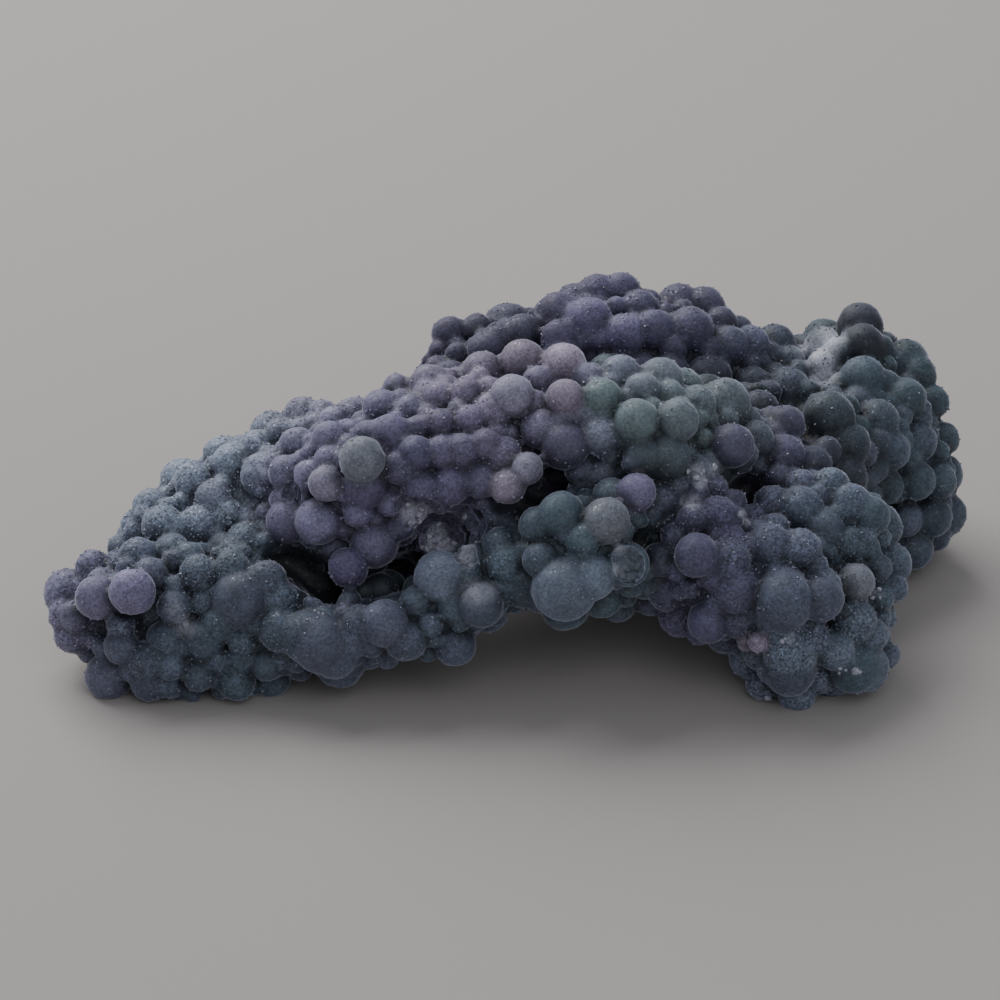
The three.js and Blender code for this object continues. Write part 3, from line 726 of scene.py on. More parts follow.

# The dark recess between the shoulder and the shelf under it, and other deep clefts. The colour of the skin
# inside them is also darkened, as painted shade.
CAVES: tuple[Chip, ...] = tuple(
    Chip(*row)
    for row in (
        (-14.6, -4.0, 0.9, 1.6), (-13.6, -4.3, 1.1, 2.2), (-12.3, -5.0, 1.0, 2.2), (-11.4, -5.8, 1.0, 1.9),
        (-10.0, -6.0, 0.9, 1.2), (-8.6, -5.4, 0.9, 0.9), (-7.3, -5.2, 1.0, 0.9), (-6.3, -5.3, 0.9, 0.8),
        (-6.0, -4.4, 0.8, 1.0), (16.4, 0.6, 0.9, 1.4), (17.5, 0.1, 0.8, 1.2), (9.6, -3.0, 0.9, 1.2),
        (-26.3, -8.2, 0.7, 0.5), (-25.4, -8.4, 0.8, 0.6), (-24.6, -8.3, 0.6, 0.4), (3.9, 1.6, 0.9, 1.2),
        (23.4, -7.4, 1.0, 1.4), (22.4, -7.7, 0.8, 1.0), (2.6, 0.5, 0.9, 1.2), (1.7, -0.4, 0.7, 0.9),
        (17.6, 6.2, 1.4, 0.6), (19.0, 6.0, 1.4, 0.6), (20.3, 5.2, 1.2, 0.5),
    )
)


class GrapeSkin:
    """The skin round many balls, which melt into each other a little where they meet.

    Attributes:
        CAVE_SOFTNESS: How softly the edge of a cave is rounded, in millimetres.
        CHIP_SOFTNESS: How softly the edge of a chip is.
        LOOK_EDGE: How wide the change from one ball's look to the next is, in millimetres.
        BLOCK: The size of the blocks that points are measured in, in millimetres.
        HALF_DIAGONAL: Half the diagonal of a block, as a share of its size.
        LEAST_WEIGHT: The smallest weight that is turned back into a distance.
    """

    CAVE_SOFTNESS = 0.8
    CHIP_SOFTNESS = 0.04
    LOOK_EDGE = 0.08
    BLOCK = 3.0
    HALF_DIAGONAL = 0.87
    LEAST_WEIGHT = 1e-300

    def __init__(
        self, core: Balls, grapes: Balls, caves: Balls, chips: Balls, melt: tuple[float, float]
    ) -> None:
        """Sets what the skin goes round.

        Args:
            core: The balls that the caves are cut out of.
            grapes: The balls that stay whole in front of them.
            caves: The balls that are taken out of the core.
            chips: The balls that are taken out of everything.
            melt: How far the balls melt together, at least and at most, in millimetres.
        """
        self.balls = core.joined(grapes)
        self.core_count = len(core.radii)
        self.caves = caves
        self.chips = chips
        self.melt = melt

    def near(self, points: np.ndarray, reach: float) -> Iterator[tuple[np.ndarray, ...]]:
        """Measures points from the balls near them, block by block.

        Args:
            points: The points.
            reach: How far from a ball's skin a point can be and still be told of it.

        Yields:
            Which points are in a block, which balls are within reach of it, the lines to the points from the
            balls' centres, how long those lines are, and how far the points are from the balls' skins.
        """
        keys = np.floor(points / self.BLOCK).astype(int)
        blocks, members = np.unique(keys, axis=0, return_inverse=True)
        members = members.ravel()
        order = np.argsort(members, kind="stable")
        starts = np.searchsorted(members[order], np.arange(len(blocks) + 1))
        for number, block in enumerate(blocks):
            rows = order[starts[number] : starts[number + 1]]
            middle = (block + 0.5) * self.BLOCK
            gaps = np.linalg.norm(self.balls.centres - middle, axis=1) - self.balls.radii
            close = np.flatnonzero(gaps < max(gaps.min(), 0) + self.BLOCK * self.HALF_DIAGONAL + reach)
            away = points[rows, None] - self.balls.centres[close]
            length = np.linalg.norm(away, axis=2)
            yield rows, close, away, length, length - self.balls.radii[close]

    def blend(self, x: np.ndarray, y: np.ndarray, z: np.ndarray) -> np.ndarray:
        """Gives how far the balls melt together at some places, which wanders over the stone.

        Args:
            x: The places' x.
            y: Their y.
            z: Their z.

        Returns:
            The melting there, in millimetres.
        """
        wave = np.sin(0.43 * x + 1.3) * np.sin(0.51 * y - 0.4) + np.sin(0.37 * x - 0.31 * y + 0.6 * z)
        share = np.clip(0.5 + 0.45 * wave, 0, 1) ** 2
        return self.melt[0] + (self.melt[1] - self.melt[0]) * share

    def measure(self, points: np.ndarray, reach: float = 1.0) -> tuple[np.ndarray, np.ndarray]:
        """Measures how far points are from the skin.

        Args:
            points: The points.
            reach: How far off the skin they are at most.

        Returns:
            Their distances, less than zero inside, and the outward slope of the distance at each.
        """
        core, least, blend = np.zeros(len(points)), np.zeros(len(points)), self.blend(*points.T)
        core_slope, grape_slope = np.zeros((len(points), 3)), np.zeros((len(points), 3))
        grape_weight = np.zeros(len(points))
        for rows, close, away, length, gap in self.near(points, reach):
            least[rows] = gap.min(axis=1)
            weight = np.exp(-(gap - least[rows, None]) / blend[rows, None])
            lines = (weight / length)[:, :, None] * away
            inner = close < self.core_count
            total = np.maximum(weight[:, inner].sum(axis=1), 1e-30)
            core[rows] = least[rows] - blend[rows] * np.log(total)
            core_slope[rows] = lines[:, inner].sum(axis=1) / total[:, None]
            grape_weight[rows] = weight[:, ~inner].sum(axis=1)
            grape_slope[rows] = lines[:, ~inner].sum(axis=1)
        core, core_slope = self.carve(points, core, core_slope, self.caves, self.CAVE_SOFTNESS)
        core_weight = np.exp(-(core - least) / blend)
        total = np.maximum(core_weight + grape_weight, self.LEAST_WEIGHT)
        distance = least - blend * np.log(total)
        slope = (core_slope * core_weight[:, None] + grape_slope) / total[:, None]
        return self.carve(points, distance, slope, self.chips, self.CHIP_SOFTNESS)

    @staticmethod
    def cut(hollow: np.ndarray, distance: np.ndarray, softness: float) -> tuple[np.ndarray, np.ndarray]:
        """Takes a hollow out of a field of distances.

        Args:
            hollow: How deep the places are in the hollow.
            distance: How far they are from the skin without it.
            softness: How softly its edge is rounded, in millimetres.

        Returns:
            The new distances, and how much of each is the hollow's, from 0 to 1.
        """
        share = np.clip(0.5 + 0.5 * (hollow - distance) / softness, 0, 1)
        return distance + (hollow - distance) * share + softness * share * (1 - share), share

    def carve(
        self, points: np.ndarray, distance: np.ndarray, slope: np.ndarray, hollows: Balls, softness: float
    ) -> tuple[np.ndarray, np.ndarray]:
        """Takes some balls out of the skin as it is measured at points.

        Args:
            points: The points.
            distance: How far they are from the skin.
            slope: The outward slope of that distance.
            hollows: The balls.
            softness: How softly their edges are rounded.

        Returns:
            The new distances and slopes.
        """
        for centre, radius in zip(hollows.centres, hollows.radii):
            away = points - centre
            length = np.maximum(np.linalg.norm(away, axis=1), 1e-9)
            distance, share = self.cut(radius - length, distance, softness)
            slope = slope * (1 - share[:, None]) - away * (share / length)[:, None]
        return distance, slope

    def looks(self, points: np.ndarray) -> np.ndarray:
        """Gives the looks of the balls at points on the skin.

        Args:
            points: The points.

        Returns:
            The colour in linear light and how sugary it is, for each point.
        """
        looks = np.zeros((len(points), 4))
        for rows, close, _, _, gap in self.near(points, 1.0):
            weight = np.exp(-(gap - gap.min(axis=1)[:, None]) / self.LOOK_EDGE)
            looks[rows] = weight @ self.balls.looks[close] / weight.sum(axis=1)[:, None]
        return looks

    def settle(self, points: np.ndarray, low: np.ndarray, high: np.ndarray, softness: float) -> np.ndarray:
        """Moves points onto the skin, and those beside a crease into it.

        Args:
            points: The points.
            low: The lowest that each may be.
            high: The highest that each may be.
            softness: How near to a crease a point is pulled into it, in millimetres.

        Returns:
            The points where they settle.
        """
        points = points.copy()
        for _ in range(5):
            for rows, _, away, length, gap in self.near(points, 1.0):
                weight = np.exp(-(gap - gap.min(axis=1)[:, None]) / softness)
                pull = np.einsum("pb,pbk->pk", weight * gap / length, away) / weight.sum(axis=1)[:, None]
                points[rows] -= pull
            points = np.clip(points, low, high)
        for _ in range(3):
            distance, slope = self.measure(points)
            points -= slope * (distance / np.maximum(0.2, (slope**2).sum(axis=1)))[:, None]
            points = np.clip(points, low, high)
        return points

    def grid(self, cell: float) -> tuple[np.ndarray, np.ndarray]:
        """Measures the distance from the skin on a grid, whose resting surface runs through a layer of cells.

        Args:
            cell: The size of its cells.

        Returns:
            The grid's lowest corner, and the distances.
        """
        low = (self.balls.centres - self.balls.radii[:, None]).min(axis=0) - 3 * cell
        high = (self.balls.centres + self.balls.radii[:, None]).max(axis=0) + 3 * cell
        low[2] = -2.5 * cell
        counts = np.ceil((high - low) / cell).astype(int)
        axes = [low[k] + cell * np.arange(counts[k]) for k in range(3)]
        mesh = np.meshgrid(*axes, indexing="ij", sparse=True)
        blend, band = self.blend(*mesh), 3 * cell
        totals = np.zeros((2, *counts))
        for number, (centre, radius) in enumerate(zip(self.balls.centres, self.balls.radii)):
            spans, gap = self.nearby(axes, centre, radius, band)
            totals[(int(number >= self.core_count), *spans)] += np.exp(-gap / blend[spans])
        values = self.unblend(totals[0], blend, band)
        for hollows, softness in ((self.caves, self.CAVE_SOFTNESS), (self.chips, self.CHIP_SOFTNESS)):
            for centre, radius in zip(hollows.centres, hollows.radii):
                spans, gap = self.nearby(axes, centre, radius, band)
                values[spans], _ = self.cut(-gap, values[spans], softness)
            if hollows is self.caves:
                values = self.unblend(np.exp(-values / blend) + totals[1], blend, band)
        return low, np.maximum(values, -mesh[2])

    @staticmethod
    def nearby(
        axes: list[np.ndarray], centre: np.ndarray, radius: float, band: float
    ) -> tuple[tuple[slice, ...], np.ndarray]:
        """Gives the part of a grid that is round a ball.

        Args:
            axes: Where the grid's layers are, along x, y and z.
            centre: The ball's centre.
            radius: Its radius.
            band: How far past the ball's skin the part reaches.

        Returns:
            The part, and how far each place in it is from the ball's skin.
        """
        reach = radius + band
        ends = [np.searchsorted(axis, (at - reach, at + reach)) for axis, at in zip(axes, centre)]
        spans = tuple(slice(*pair) for pair in ends)
        x, y, z = ((axis[span] - at) ** 2 for axis, span, at in zip(axes, spans, centre))
        return spans, np.sqrt(x[:, None, None] + y[None, :, None] + z[None, None, :]) - radius

    @classmethod
    def unblend(cls, total: np.ndarray, blend: np.ndarray, band: float) -> np.ndarray:
        """Turns the balls' joined weights back into distances.

        Args:
            total: The weights.
            blend: How far the balls melt together at each place.
            band: The largest distance that is given.

        Returns:
            The distances.
        """
        return np.minimum(band, -blend * np.log(np.maximum(total, cls.LEAST_WEIGHT)))


class Net:
    """A closed net of triangles round the places where a grid of distances is less than zero.

    Attributes:
        CORNERS: The steps to the eight corners of a cell.
        ROUNDS: How many times cells with two sheets in them are looked for at most.
        FILLED: The distance that a corner gets when it is filled in, as a share of a cell.
        INSET: How far inside its cell a vertex stays, as a share of the cell.
        CREASE: How near to a crease a vertex is pulled into it, as a share of the cell.
    """

    CORNERS = np.array([[x, y, z] for z in (0, 1) for y in (0, 1) for x in (0, 1)])
    ROUNDS = 50
    FILLED = -0.05
    INSET = 0.06
    CREASE = 0.12

    def __init__(self, skin: GrapeSkin, cell: float) -> None:
        """Nets a skin.

        Args:
            skin: The skin.
            cell: The size of the net's cells, in millimetres.
        """
        self.skin = skin
        self.cell = cell
        self.low, self.values = skin.grid(cell)
        self.fill_split_cells()
        self.points = self.make_points()
        self.triangles = self.make_triangles()
        self.drop_crumbs()

    def drop_crumbs(self) -> None:
        """Keeps only the largest piece of the net.

        The loose crumbs outside it and the closed bubbles inside it go.
        """
        edges = np.vstack([self.triangles[:, pair] for pair in ([0, 1], [1, 2], [2, 0])])
        piece, linked = np.arange(len(self.points)), None
        while not np.array_equal(piece, linked):
            linked = piece
            ends = linked[edges]
            piece = linked.copy()
            for end in ends.T:
                np.minimum.at(piece, end, ends.min(axis=1))
            piece = piece[piece[piece]]
        stay = piece == np.bincount(piece).argmax()
        self.triangles = (np.cumsum(stay) - 1)[self.triangles[stay[self.triangles[:, 0]]]]
        self.points = self.points[stay]

    @staticmethod
    def joins_up(corners: list[int]) -> bool:
        """Tells whether some corners of a cell all join up along its edges.

        Args:
            corners: Their numbers, from 0 to 7.

        Returns:
            True where they do.
        """
        reached = set(corners[:1])
        fresh = set(reached)
        while fresh:
            fresh = {corner ^ step for corner in fresh for step in (1, 2, 4)} & set(corners) - reached
            reached |= fresh
        return len(reached) == len(corners)

    def around(self, array: np.ndarray) -> np.ndarray:
        """Gives an array's values at the eight corners of each cell.

        Args:
            array: The array, with one value for each corner of the grid.

        Returns:
            The values, with the corners on a new last axis.
        """
        nx, ny, nz = array.shape
        views = [array[x : nx - 1 + x, y : ny - 1 + y, z : nz - 1 + z] for x, y, z in self.CORNERS]
        return np.stack(views, axis=-1)

    def fill_split_cells(self) -> None:
        """Fills in corners until no cell has two sheets of skin in it.

        Each round fills one corner of every such cell: the one that is nearest to the skin.
        """
        kinds = [[[c for c in range(8) if code >> c & 1 == side] for side in (0, 1)] for code in range(256)]
        split = np.array([not all(self.joins_up(corners) for corners in sides) for sides in kinds])
        for _ in range(self.ROUNDS):
            code = (self.around(self.values < 0) << np.arange(8)).sum(axis=-1)
            cells = np.argwhere(split[code])
            if not len(cells):
                return
            corners = cells[:, None, :] + self.CORNERS[None]
            at = self.values[corners[..., 0], corners[..., 1], corners[..., 2]]
            pick = np.argmin(np.where(at < 0, np.inf, at), axis=1)
            chosen = corners[np.arange(len(cells)), pick]
            self.values[chosen[:, 0], chosen[:, 1], chosen[:, 2]] = self.FILLED * self.cell

    def make_points(self) -> np.ndarray:
        """Puts one vertex in each cell that the skin passes through, and numbers those cells.

        Returns:
            The vertices.
        """
        corner_values = self.around(self.values)
        inside = corner_values < 0
        self.numbers = np.full(inside.shape[:3], -1)
        crossed = inside.any(axis=-1) & ~inside.all(axis=-1)
        cells = np.argwhere(crossed)
        self.numbers[crossed] = np.arange(len(cells))
        corner_values = corner_values[crossed]
        total = np.zeros((len(cells), 3))
        count = np.zeros(len(cells))
        for start in range(8):
            for step in (1, 2, 4):
                end = start | step
                if end == start:
                    continue
                first, last = corner_values[:, start], corner_values[:, end]
                passes = (first < 0) != (last < 0)
                share = np.where(passes, first / np.where(passes, first - last, 1), 0)
                place = self.CORNERS[start] + share[:, None] * (self.CORNERS[end] - self.CORNERS[start])
                total += place * passes[:, None]
                count += passes
        cell = self.cell
        low = self.low + cells * cell
        points = low + cell * total / count[:, None]
        inset = self.INSET * cell
        floor = low + inset
        floor[:, 2] = np.maximum(floor[:, 2], 0)
        ceiling = np.maximum(low + cell - inset, floor)
        return self.skin.settle(points, floor, ceiling, self.CREASE * cell)

    def make_triangles(self) -> np.ndarray:
        """Joins the vertices round each step of the grid that goes through the skin.

        Returns:
            Three vertex numbers for each triangle, with its face outwards.
        """
        inside = self.values < 0
        quads = []
        for axis in range(3):
            ahead = np.roll(inside, -1, axis=axis)
            steps = np.argwhere(inside != ahead)
            steps = steps[(steps > 0).all(axis=1) & (steps < np.array(inside.shape) - 1).all(axis=1)]
            side, across = np.eye(3, dtype=int)[(axis + 1) % 3], np.eye(3, dtype=int)[(axis + 2) % 3]
            cells = [steps - side - across, steps - across, steps, steps - side]
            quad = np.stack([self.numbers[c[:, 0], c[:, 1], c[:, 2]] for c in cells], axis=1)
            out = inside[steps[:, 0], steps[:, 1], steps[:, 2]]
            quads.append(np.where(out[:, None], quad, quad[:, ::-1]))
        quads = np.vstack(quads)
        a, b, c, d = quads.T
        one, _ = self.skin.measure((self.points[a] + self.points[c]) / 2)
        other, _ = self.skin.measure((self.points[b] + self.points[d]) / 2)
        first = np.abs(one) < np.abs(other)
        upper = np.where(first[:, None], np.stack([a, b, c], axis=1), np.stack([a, b, d], axis=1))
        lower = np.where(first[:, None], np.stack([a, c, d], axis=1), np.stack([b, c, d], axis=1))
        return np.vstack([upper, lower])


def new_object(name: str, data: bpy.types.ID) -> bpy.types.Object:
    """Makes an object and links it to the scene.

    Args:
        name: Its name.
        data: Its mesh, light or camera.

    Returns:
        The object.
    """
    thing = bpy.data.objects.new(name, data)
    bpy.context.scene.collection.objects.link(thing)
    return thing


class NodeTree:
    """A small helper that adds and links the nodes of one tree."""

    def __init__(self, tree: bpy.types.NodeTree) -> None:
        """Takes the tree.

        Args:
            tree: The node tree.
        """
        self.tree = tree

    def fill(self, node: bpy.types.Node, values: dict) -> bpy.types.Node:
        """Sets some inputs of a node, or links outputs to them.

        Args:
            node: The node.
            values: A plain value or an output socket for each input, by name or number.

        Returns:
            The node.
        """
        for name, value in values.items():
            if isinstance(value, bpy.types.NodeSocket):
                self.tree.links.new(value, node.inputs[name])
            else:
                node.inputs[name].default_value = value
        return node

    def add(self, kind: str, values: dict | None = None, **settings: object) -> bpy.types.Node:
        """Adds a node.

        Args:
            kind: Its type name.
            values: What its inputs get, by name or number.
            **settings: Its properties.

        Returns:
            The node.
        """
        node = self.tree.nodes.new(kind)
        for name, value in settings.items():
            setattr(node, name, value)
        return self.fill(node, values or {})

    def noise(self, scale: object, detail: float, roughness: float = 0.5) -> bpy.types.NodeOutputs:
        """Adds a Noise Texture node on the object's own coordinates.

        Args:
            scale: Its scale.
            detail: Its detail.
            roughness: How strong the detail is.

        Returns:
            Its outputs.
        """
        place = self.add("ShaderNodeTexCoord").outputs["Object"]
        values = {"Vector": place, "Scale": scale, "Detail": detail, "Roughness": roughness}
        return self.add("ShaderNodeTexNoise", values).outputs

    def scaled(self, colour: bpy.types.NodeSocket, factor: object) -> bpy.types.NodeSocket:
        """Adds a node that multiplies a colour by a number, and gives its output."""
        return self.add("ShaderNodeVectorMath", {0: colour, "Scale": factor}, operation="SCALE").outputs[0]

    def math(self, operation: str, *values: object) -> bpy.types.NodeSocket:
        """Adds a Math node and gives its output."""
        return self.add("ShaderNodeMath", dict(enumerate(values)), operation=operation).outputs[0]

    def attribute(self, name: str, output: str = "Fac") -> bpy.types.NodeSocket:
        """Adds an Attribute node and gives one of its outputs."""
        return self.add("ShaderNodeAttribute", attribute_name=name).outputs[output]

    def remap(
        self, value: object, old: tuple[float, float], new: tuple[float, float]
    ) -> bpy.types.NodeSocket:
        """Adds a Map Range node and gives its output."""
        values = {"Value": value, "From Min": old[0], "From Max": old[1], "To Min": new[0], "To Max": new[1]}
        return self.add("ShaderNodeMapRange", values).outputs["Result"]

    def mix(self, share: object, first: object, second: object) -> bpy.types.NodeSocket:
        """Adds a colour Mix node and gives its output."""
        values = {0: share, 6: first, 7: second}
        return self.add("ShaderNodeMix", values, data_type="RGBA", blend_type="MIX").outputs[2]


def new_group(
    name: str, inputs: dict[str, float], outputs: tuple[str, ...]
) -> tuple[NodeTree, bpy.types.NodeOutputs, bpy.types.Node]:
    """Starts a shader node group that takes and gives numbers.

    Args:
        name: Its name.
        inputs: The default value of each input.
        outputs: The names of its outputs.

    Returns:
        The tree's helper, what the group takes in and its output node.
    """
    tree = bpy.data.node_groups.new(name, "ShaderNodeTree")
    for title, value in inputs.items():
        socket = tree.interface.new_socket(title, in_out="INPUT", socket_type="NodeSocketFloat")
        socket.default_value = value
    for title in outputs:
        tree.interface.new_socket(title, in_out="OUTPUT", socket_type="NodeSocketFloat")
    helper = NodeTree(tree)
    return helper, helper.add("NodeGroupInput").outputs, helper.add("NodeGroupOutput")


def new_material(name: str, settings: dict) -> tuple[bpy.types.Material, NodeTree, bpy.types.Node]:
    """Starts a material.

    Args:
        name: Its name.
        settings: The plain values of its shader's inputs, by name.

    Returns:
        The material, its tree's helper and its shader.
    """
    material = bpy.data.materials.new(name)
    material.use_nodes = True
    helper = NodeTree(material.node_tree)
    return material, helper, helper.fill(material.node_tree.nodes["Principled BSDF"], settings)


def sugar_grain_group() -> bpy.types.NodeTree:
    """Builds the fine sugary grain that all of the stone's skin has.

    Returns:
        A group that puts out the relief of the grain, its specks from 0 to 1 and a mask of its glints, which
            are both glossier spots and painted glints in the chalcedony.
    """
    helper, start, end = new_group(
        "sugar_grain",
        {"Coarse Scale": 2400.0, "Fine Scale": 7500.0, "Bend": 0.00012},
        ("Relief", "Specks", "Glints"),
    )
    place = helper.add("ShaderNodeTexCoord").outputs["Object"]
    coarse = helper.noise(start["Coarse Scale"], 3.0)
    values = {0: coarse["Color"], 1: start["Bend"], 2: place}
    bent = helper.add("ShaderNodeVectorMath", values, operation="MULTIPLY_ADD").outputs[0]
    fine = helper.add("ShaderNodeTexVoronoi", {"Vector": bent, "Scale": start["Fine Scale"]}).outputs
    cell = helper.add("ShaderNodeSeparateColor", {"Color": fine["Color"]}).outputs
    mounds = helper.math("SUBTRACT", 0.8, fine["Distance"])
    height = helper.math("MULTIPLY_ADD", cell[1], 0.7, 0.3)
    speckle = helper.math("MULTIPLY", coarse["Fac"], 0.4)
    results = {
        "Relief": helper.math("MULTIPLY_ADD", mounds, height, coarse["Fac"]),
        "Specks": helper.math("MULTIPLY_ADD", cell[0], 0.6, speckle),
        "Glints": helper.remap(cell[2], (0.9, 0.99), (0.0, 1.0)),
    }
    helper.fill(end, results)
    return helper.tree


def broken_shell_group() -> bpy.types.NodeTree:
    """Builds the bands that a grape shows where it is broken open.

    Returns:
        A group that turns the depth below the old skin, in millimetres, into a mask of broken faces and into
        a shade.
    """
    helper, start, end = new_group("broken_shell", {"Depth": 0.0, "Band Width": 0.13}, ("Broken", "Shade"))
    wander = helper.noise(1500.0, 2.0)["Fac"]
    mottle = helper.noise(3600.0, 3.0)["Fac"]
    depth = helper.math("MULTIPLY_ADD", wander, 0.12, start["Depth"])
    turns = helper.math("DIVIDE", depth, start["Band Width"])
    wave = helper.math("SINE", helper.math("MULTIPLY", turns, 2 * math.pi))
    fading = helper.remap(depth, (0.1, 0.7), (0.22, 0.04))
    rim = helper.remap(depth, (0.1, 0.2), (1.0, 0.0))
    ground = helper.remap(mottle, (0.3, 0.7), (0.35, 1.3))
    rimmed = helper.math("MULTIPLY_ADD", rim, 1.3, ground)
    results = {
        "Broken": helper.remap(start["Depth"], (0.03, 0.08), (0.0, 1.0)),
        "Shade": helper.math("MULTIPLY_ADD", wave, fading, rimmed),
    }
    helper.fill(end, results)
    return helper.tree


@dataclass(frozen=True)
class ChalcedonyFinish:
    """The frosted, faintly see-through skin of the grapes.

    Attributes:
        name: The material's name.
        inside: The colour that a broken face goes towards.
        white: The colour of the quartz that shows.
        roughness: How matt the skin is between its glints.
        glint_roughness: How matt its glints are.
        subsurface: How much light goes in under the skin.
        depth: How far that light spreads, in metres.
        sheen: How pale the velvety rim of each grape is.
        cleft_shade_strength: How much the clefts between the grapes are darkened, as painted shade.
        speck: How much the specks of a smooth grape and of a sugary one change its shade.
        relief: How high the sugary grain stands, in metres.
    """

    name: str = "chalcedony"
    inside: tuple[float, ...] = (0.17, 0.17, 0.22, 1.0)
    white: tuple[float, ...] = (0.6, 0.61, 0.69, 1.0)
    roughness: float = 0.62
    glint_roughness: float = 0.2
    subsurface: float = 0.5
    depth: float = 0.0008
    sheen: float = 0.85
    cleft_shade_strength: float = 0.8
    speck: tuple[float, float] = (0.75, 2.1)
    relief: float = 0.00006

    def material(self, grain: bpy.types.NodeTree, shell: bpy.types.NodeTree) -> bpy.types.Material:
        """Makes the material.

        Args:
            grain: The group of the sugary grain.
            shell: The group of the broken faces.

        Returns:
            The material.
        """
        settings = {
            "IOR": QUARTZ_IOR,
            "Subsurface Weight": self.subsurface,
            "Subsurface Radius": (1.0, 0.95, 1.15),
            "Subsurface Scale": self.depth,
            "Sheen Weight": self.sheen,
            "Sheen Roughness": 0.3,
            "Sheen Tint": (0.8, 0.83, 1.0, 1.0),
        }
        material, helper, shader = new_material(self.name, settings)
        sugar, tint_and_painted_shade = helper.attribute("sugar"), helper.attribute("tint_and_painted_shade", "Color")
        grains = helper.add("ShaderNodeGroup", node_tree=grain).outputs
        broken = helper.add("ShaderNodeGroup", {"Depth": helper.attribute("depth")}, node_tree=shell).outputs
        clouds = helper.remap(helper.noise(480.0, 4.0, 0.65)["Fac"], (0.3, 0.7), (0.76, 1.24))
        strength = helper.remap(sugar, (0.0, 1.0), self.speck)
        specks = helper.math("MULTIPLY_ADD", helper.math("SUBTRACT", grains["Specks"], 0.5), strength, 1.0)
        # Painted shade: the clefts between the grapes are darkened by how closed in they are.
        dark = helper.math("MULTIPLY_ADD", helper.attribute("cleft_shade"), -self.cleft_shade_strength, 1.0)
        shade = helper.math("MULTIPLY", helper.math("MULTIPLY", clouds, specks), dark)
        # Painted glints: the grain's glint cells are made lighter in colour, more where the skin is sugary.
        glow = helper.math("MULTIPLY_ADD", sugar, 0.9, 0.15)
        skin = helper.scaled(tint_and_painted_shade, helper.math("MULTIPLY_ADD", grains["Glints"], glow, shade))
        fresh = helper.scaled(helper.mix(0.45, tint_and_painted_shade, self.inside), broken["Shade"])
        opened = helper.mix(broken["Broken"], skin, fresh)
        chalky = helper.remap(specks, (0.7, 1.1), (0.6, 1.0))
        white = helper.math("MULTIPLY", helper.attribute("white"), chalky)
        grainy = helper.math("MULTIPLY_ADD", sugar, 0.75, 0.25)
        height = helper.math("MULTIPLY", grains["Relief"], grainy)
        bump = helper.add("ShaderNodeBump", {"Height": height, "Distance": self.relief, "Strength": 1.0})
        roughness = helper.remap(grains["Glints"], (0.0, 1.0), (self.roughness, self.glint_roughness))
        colour = helper.mix(white, opened, self.white)
        helper.fill(shader, {"Base Color": colour, "Roughness": roughness, "Normal": bump.outputs["Normal"]})
        return material


@dataclass(frozen=True)
class QuartzFinish:
    """The clear to milky quartz of the small crystals.

    Attributes:
        name: The material's name.
        milk: How much of the crystal's colour is white, instead of that of the stone under it.
        roughness: How matt its faces are.
        white: The colour of the milk.
    """

    name: str
    milk: float
    roughness: float = 0.14
    white: tuple[float, ...] = (0.66, 0.65, 0.76, 1.0)

    def material(self, grain: bpy.types.NodeTree) -> bpy.types.Material:
        """Makes the material.

        Args:
            grain: The group of the sugary grain.

        Returns:
            The material.
        """
        settings = {"IOR": QUARTZ_IOR, "Subsurface Weight": 0.1, "Subsurface Scale": 0.0002}
        material, helper, shader = new_material(self.name, settings)
        specks = helper.add("ShaderNodeGroup", node_tree=grain).outputs["Specks"]
        light = helper.remap(specks, (0.2, 0.8), (0.9, 1.7))
        bright = helper.scaled(helper.attribute("tint_and_painted_shade", "Color"), light)
        milk = helper.remap(specks, (0.2, 0.8), (self.milk * 0.6, min(1.0, self.milk * 1.4)))
        roughness = helper.remap(specks, (0.0, 1.0), (self.roughness, self.roughness * 2))
        helper.fill(shader, {"Base Color": helper.mix(milk, bright, self.white), "Roughness": roughness})
        return material


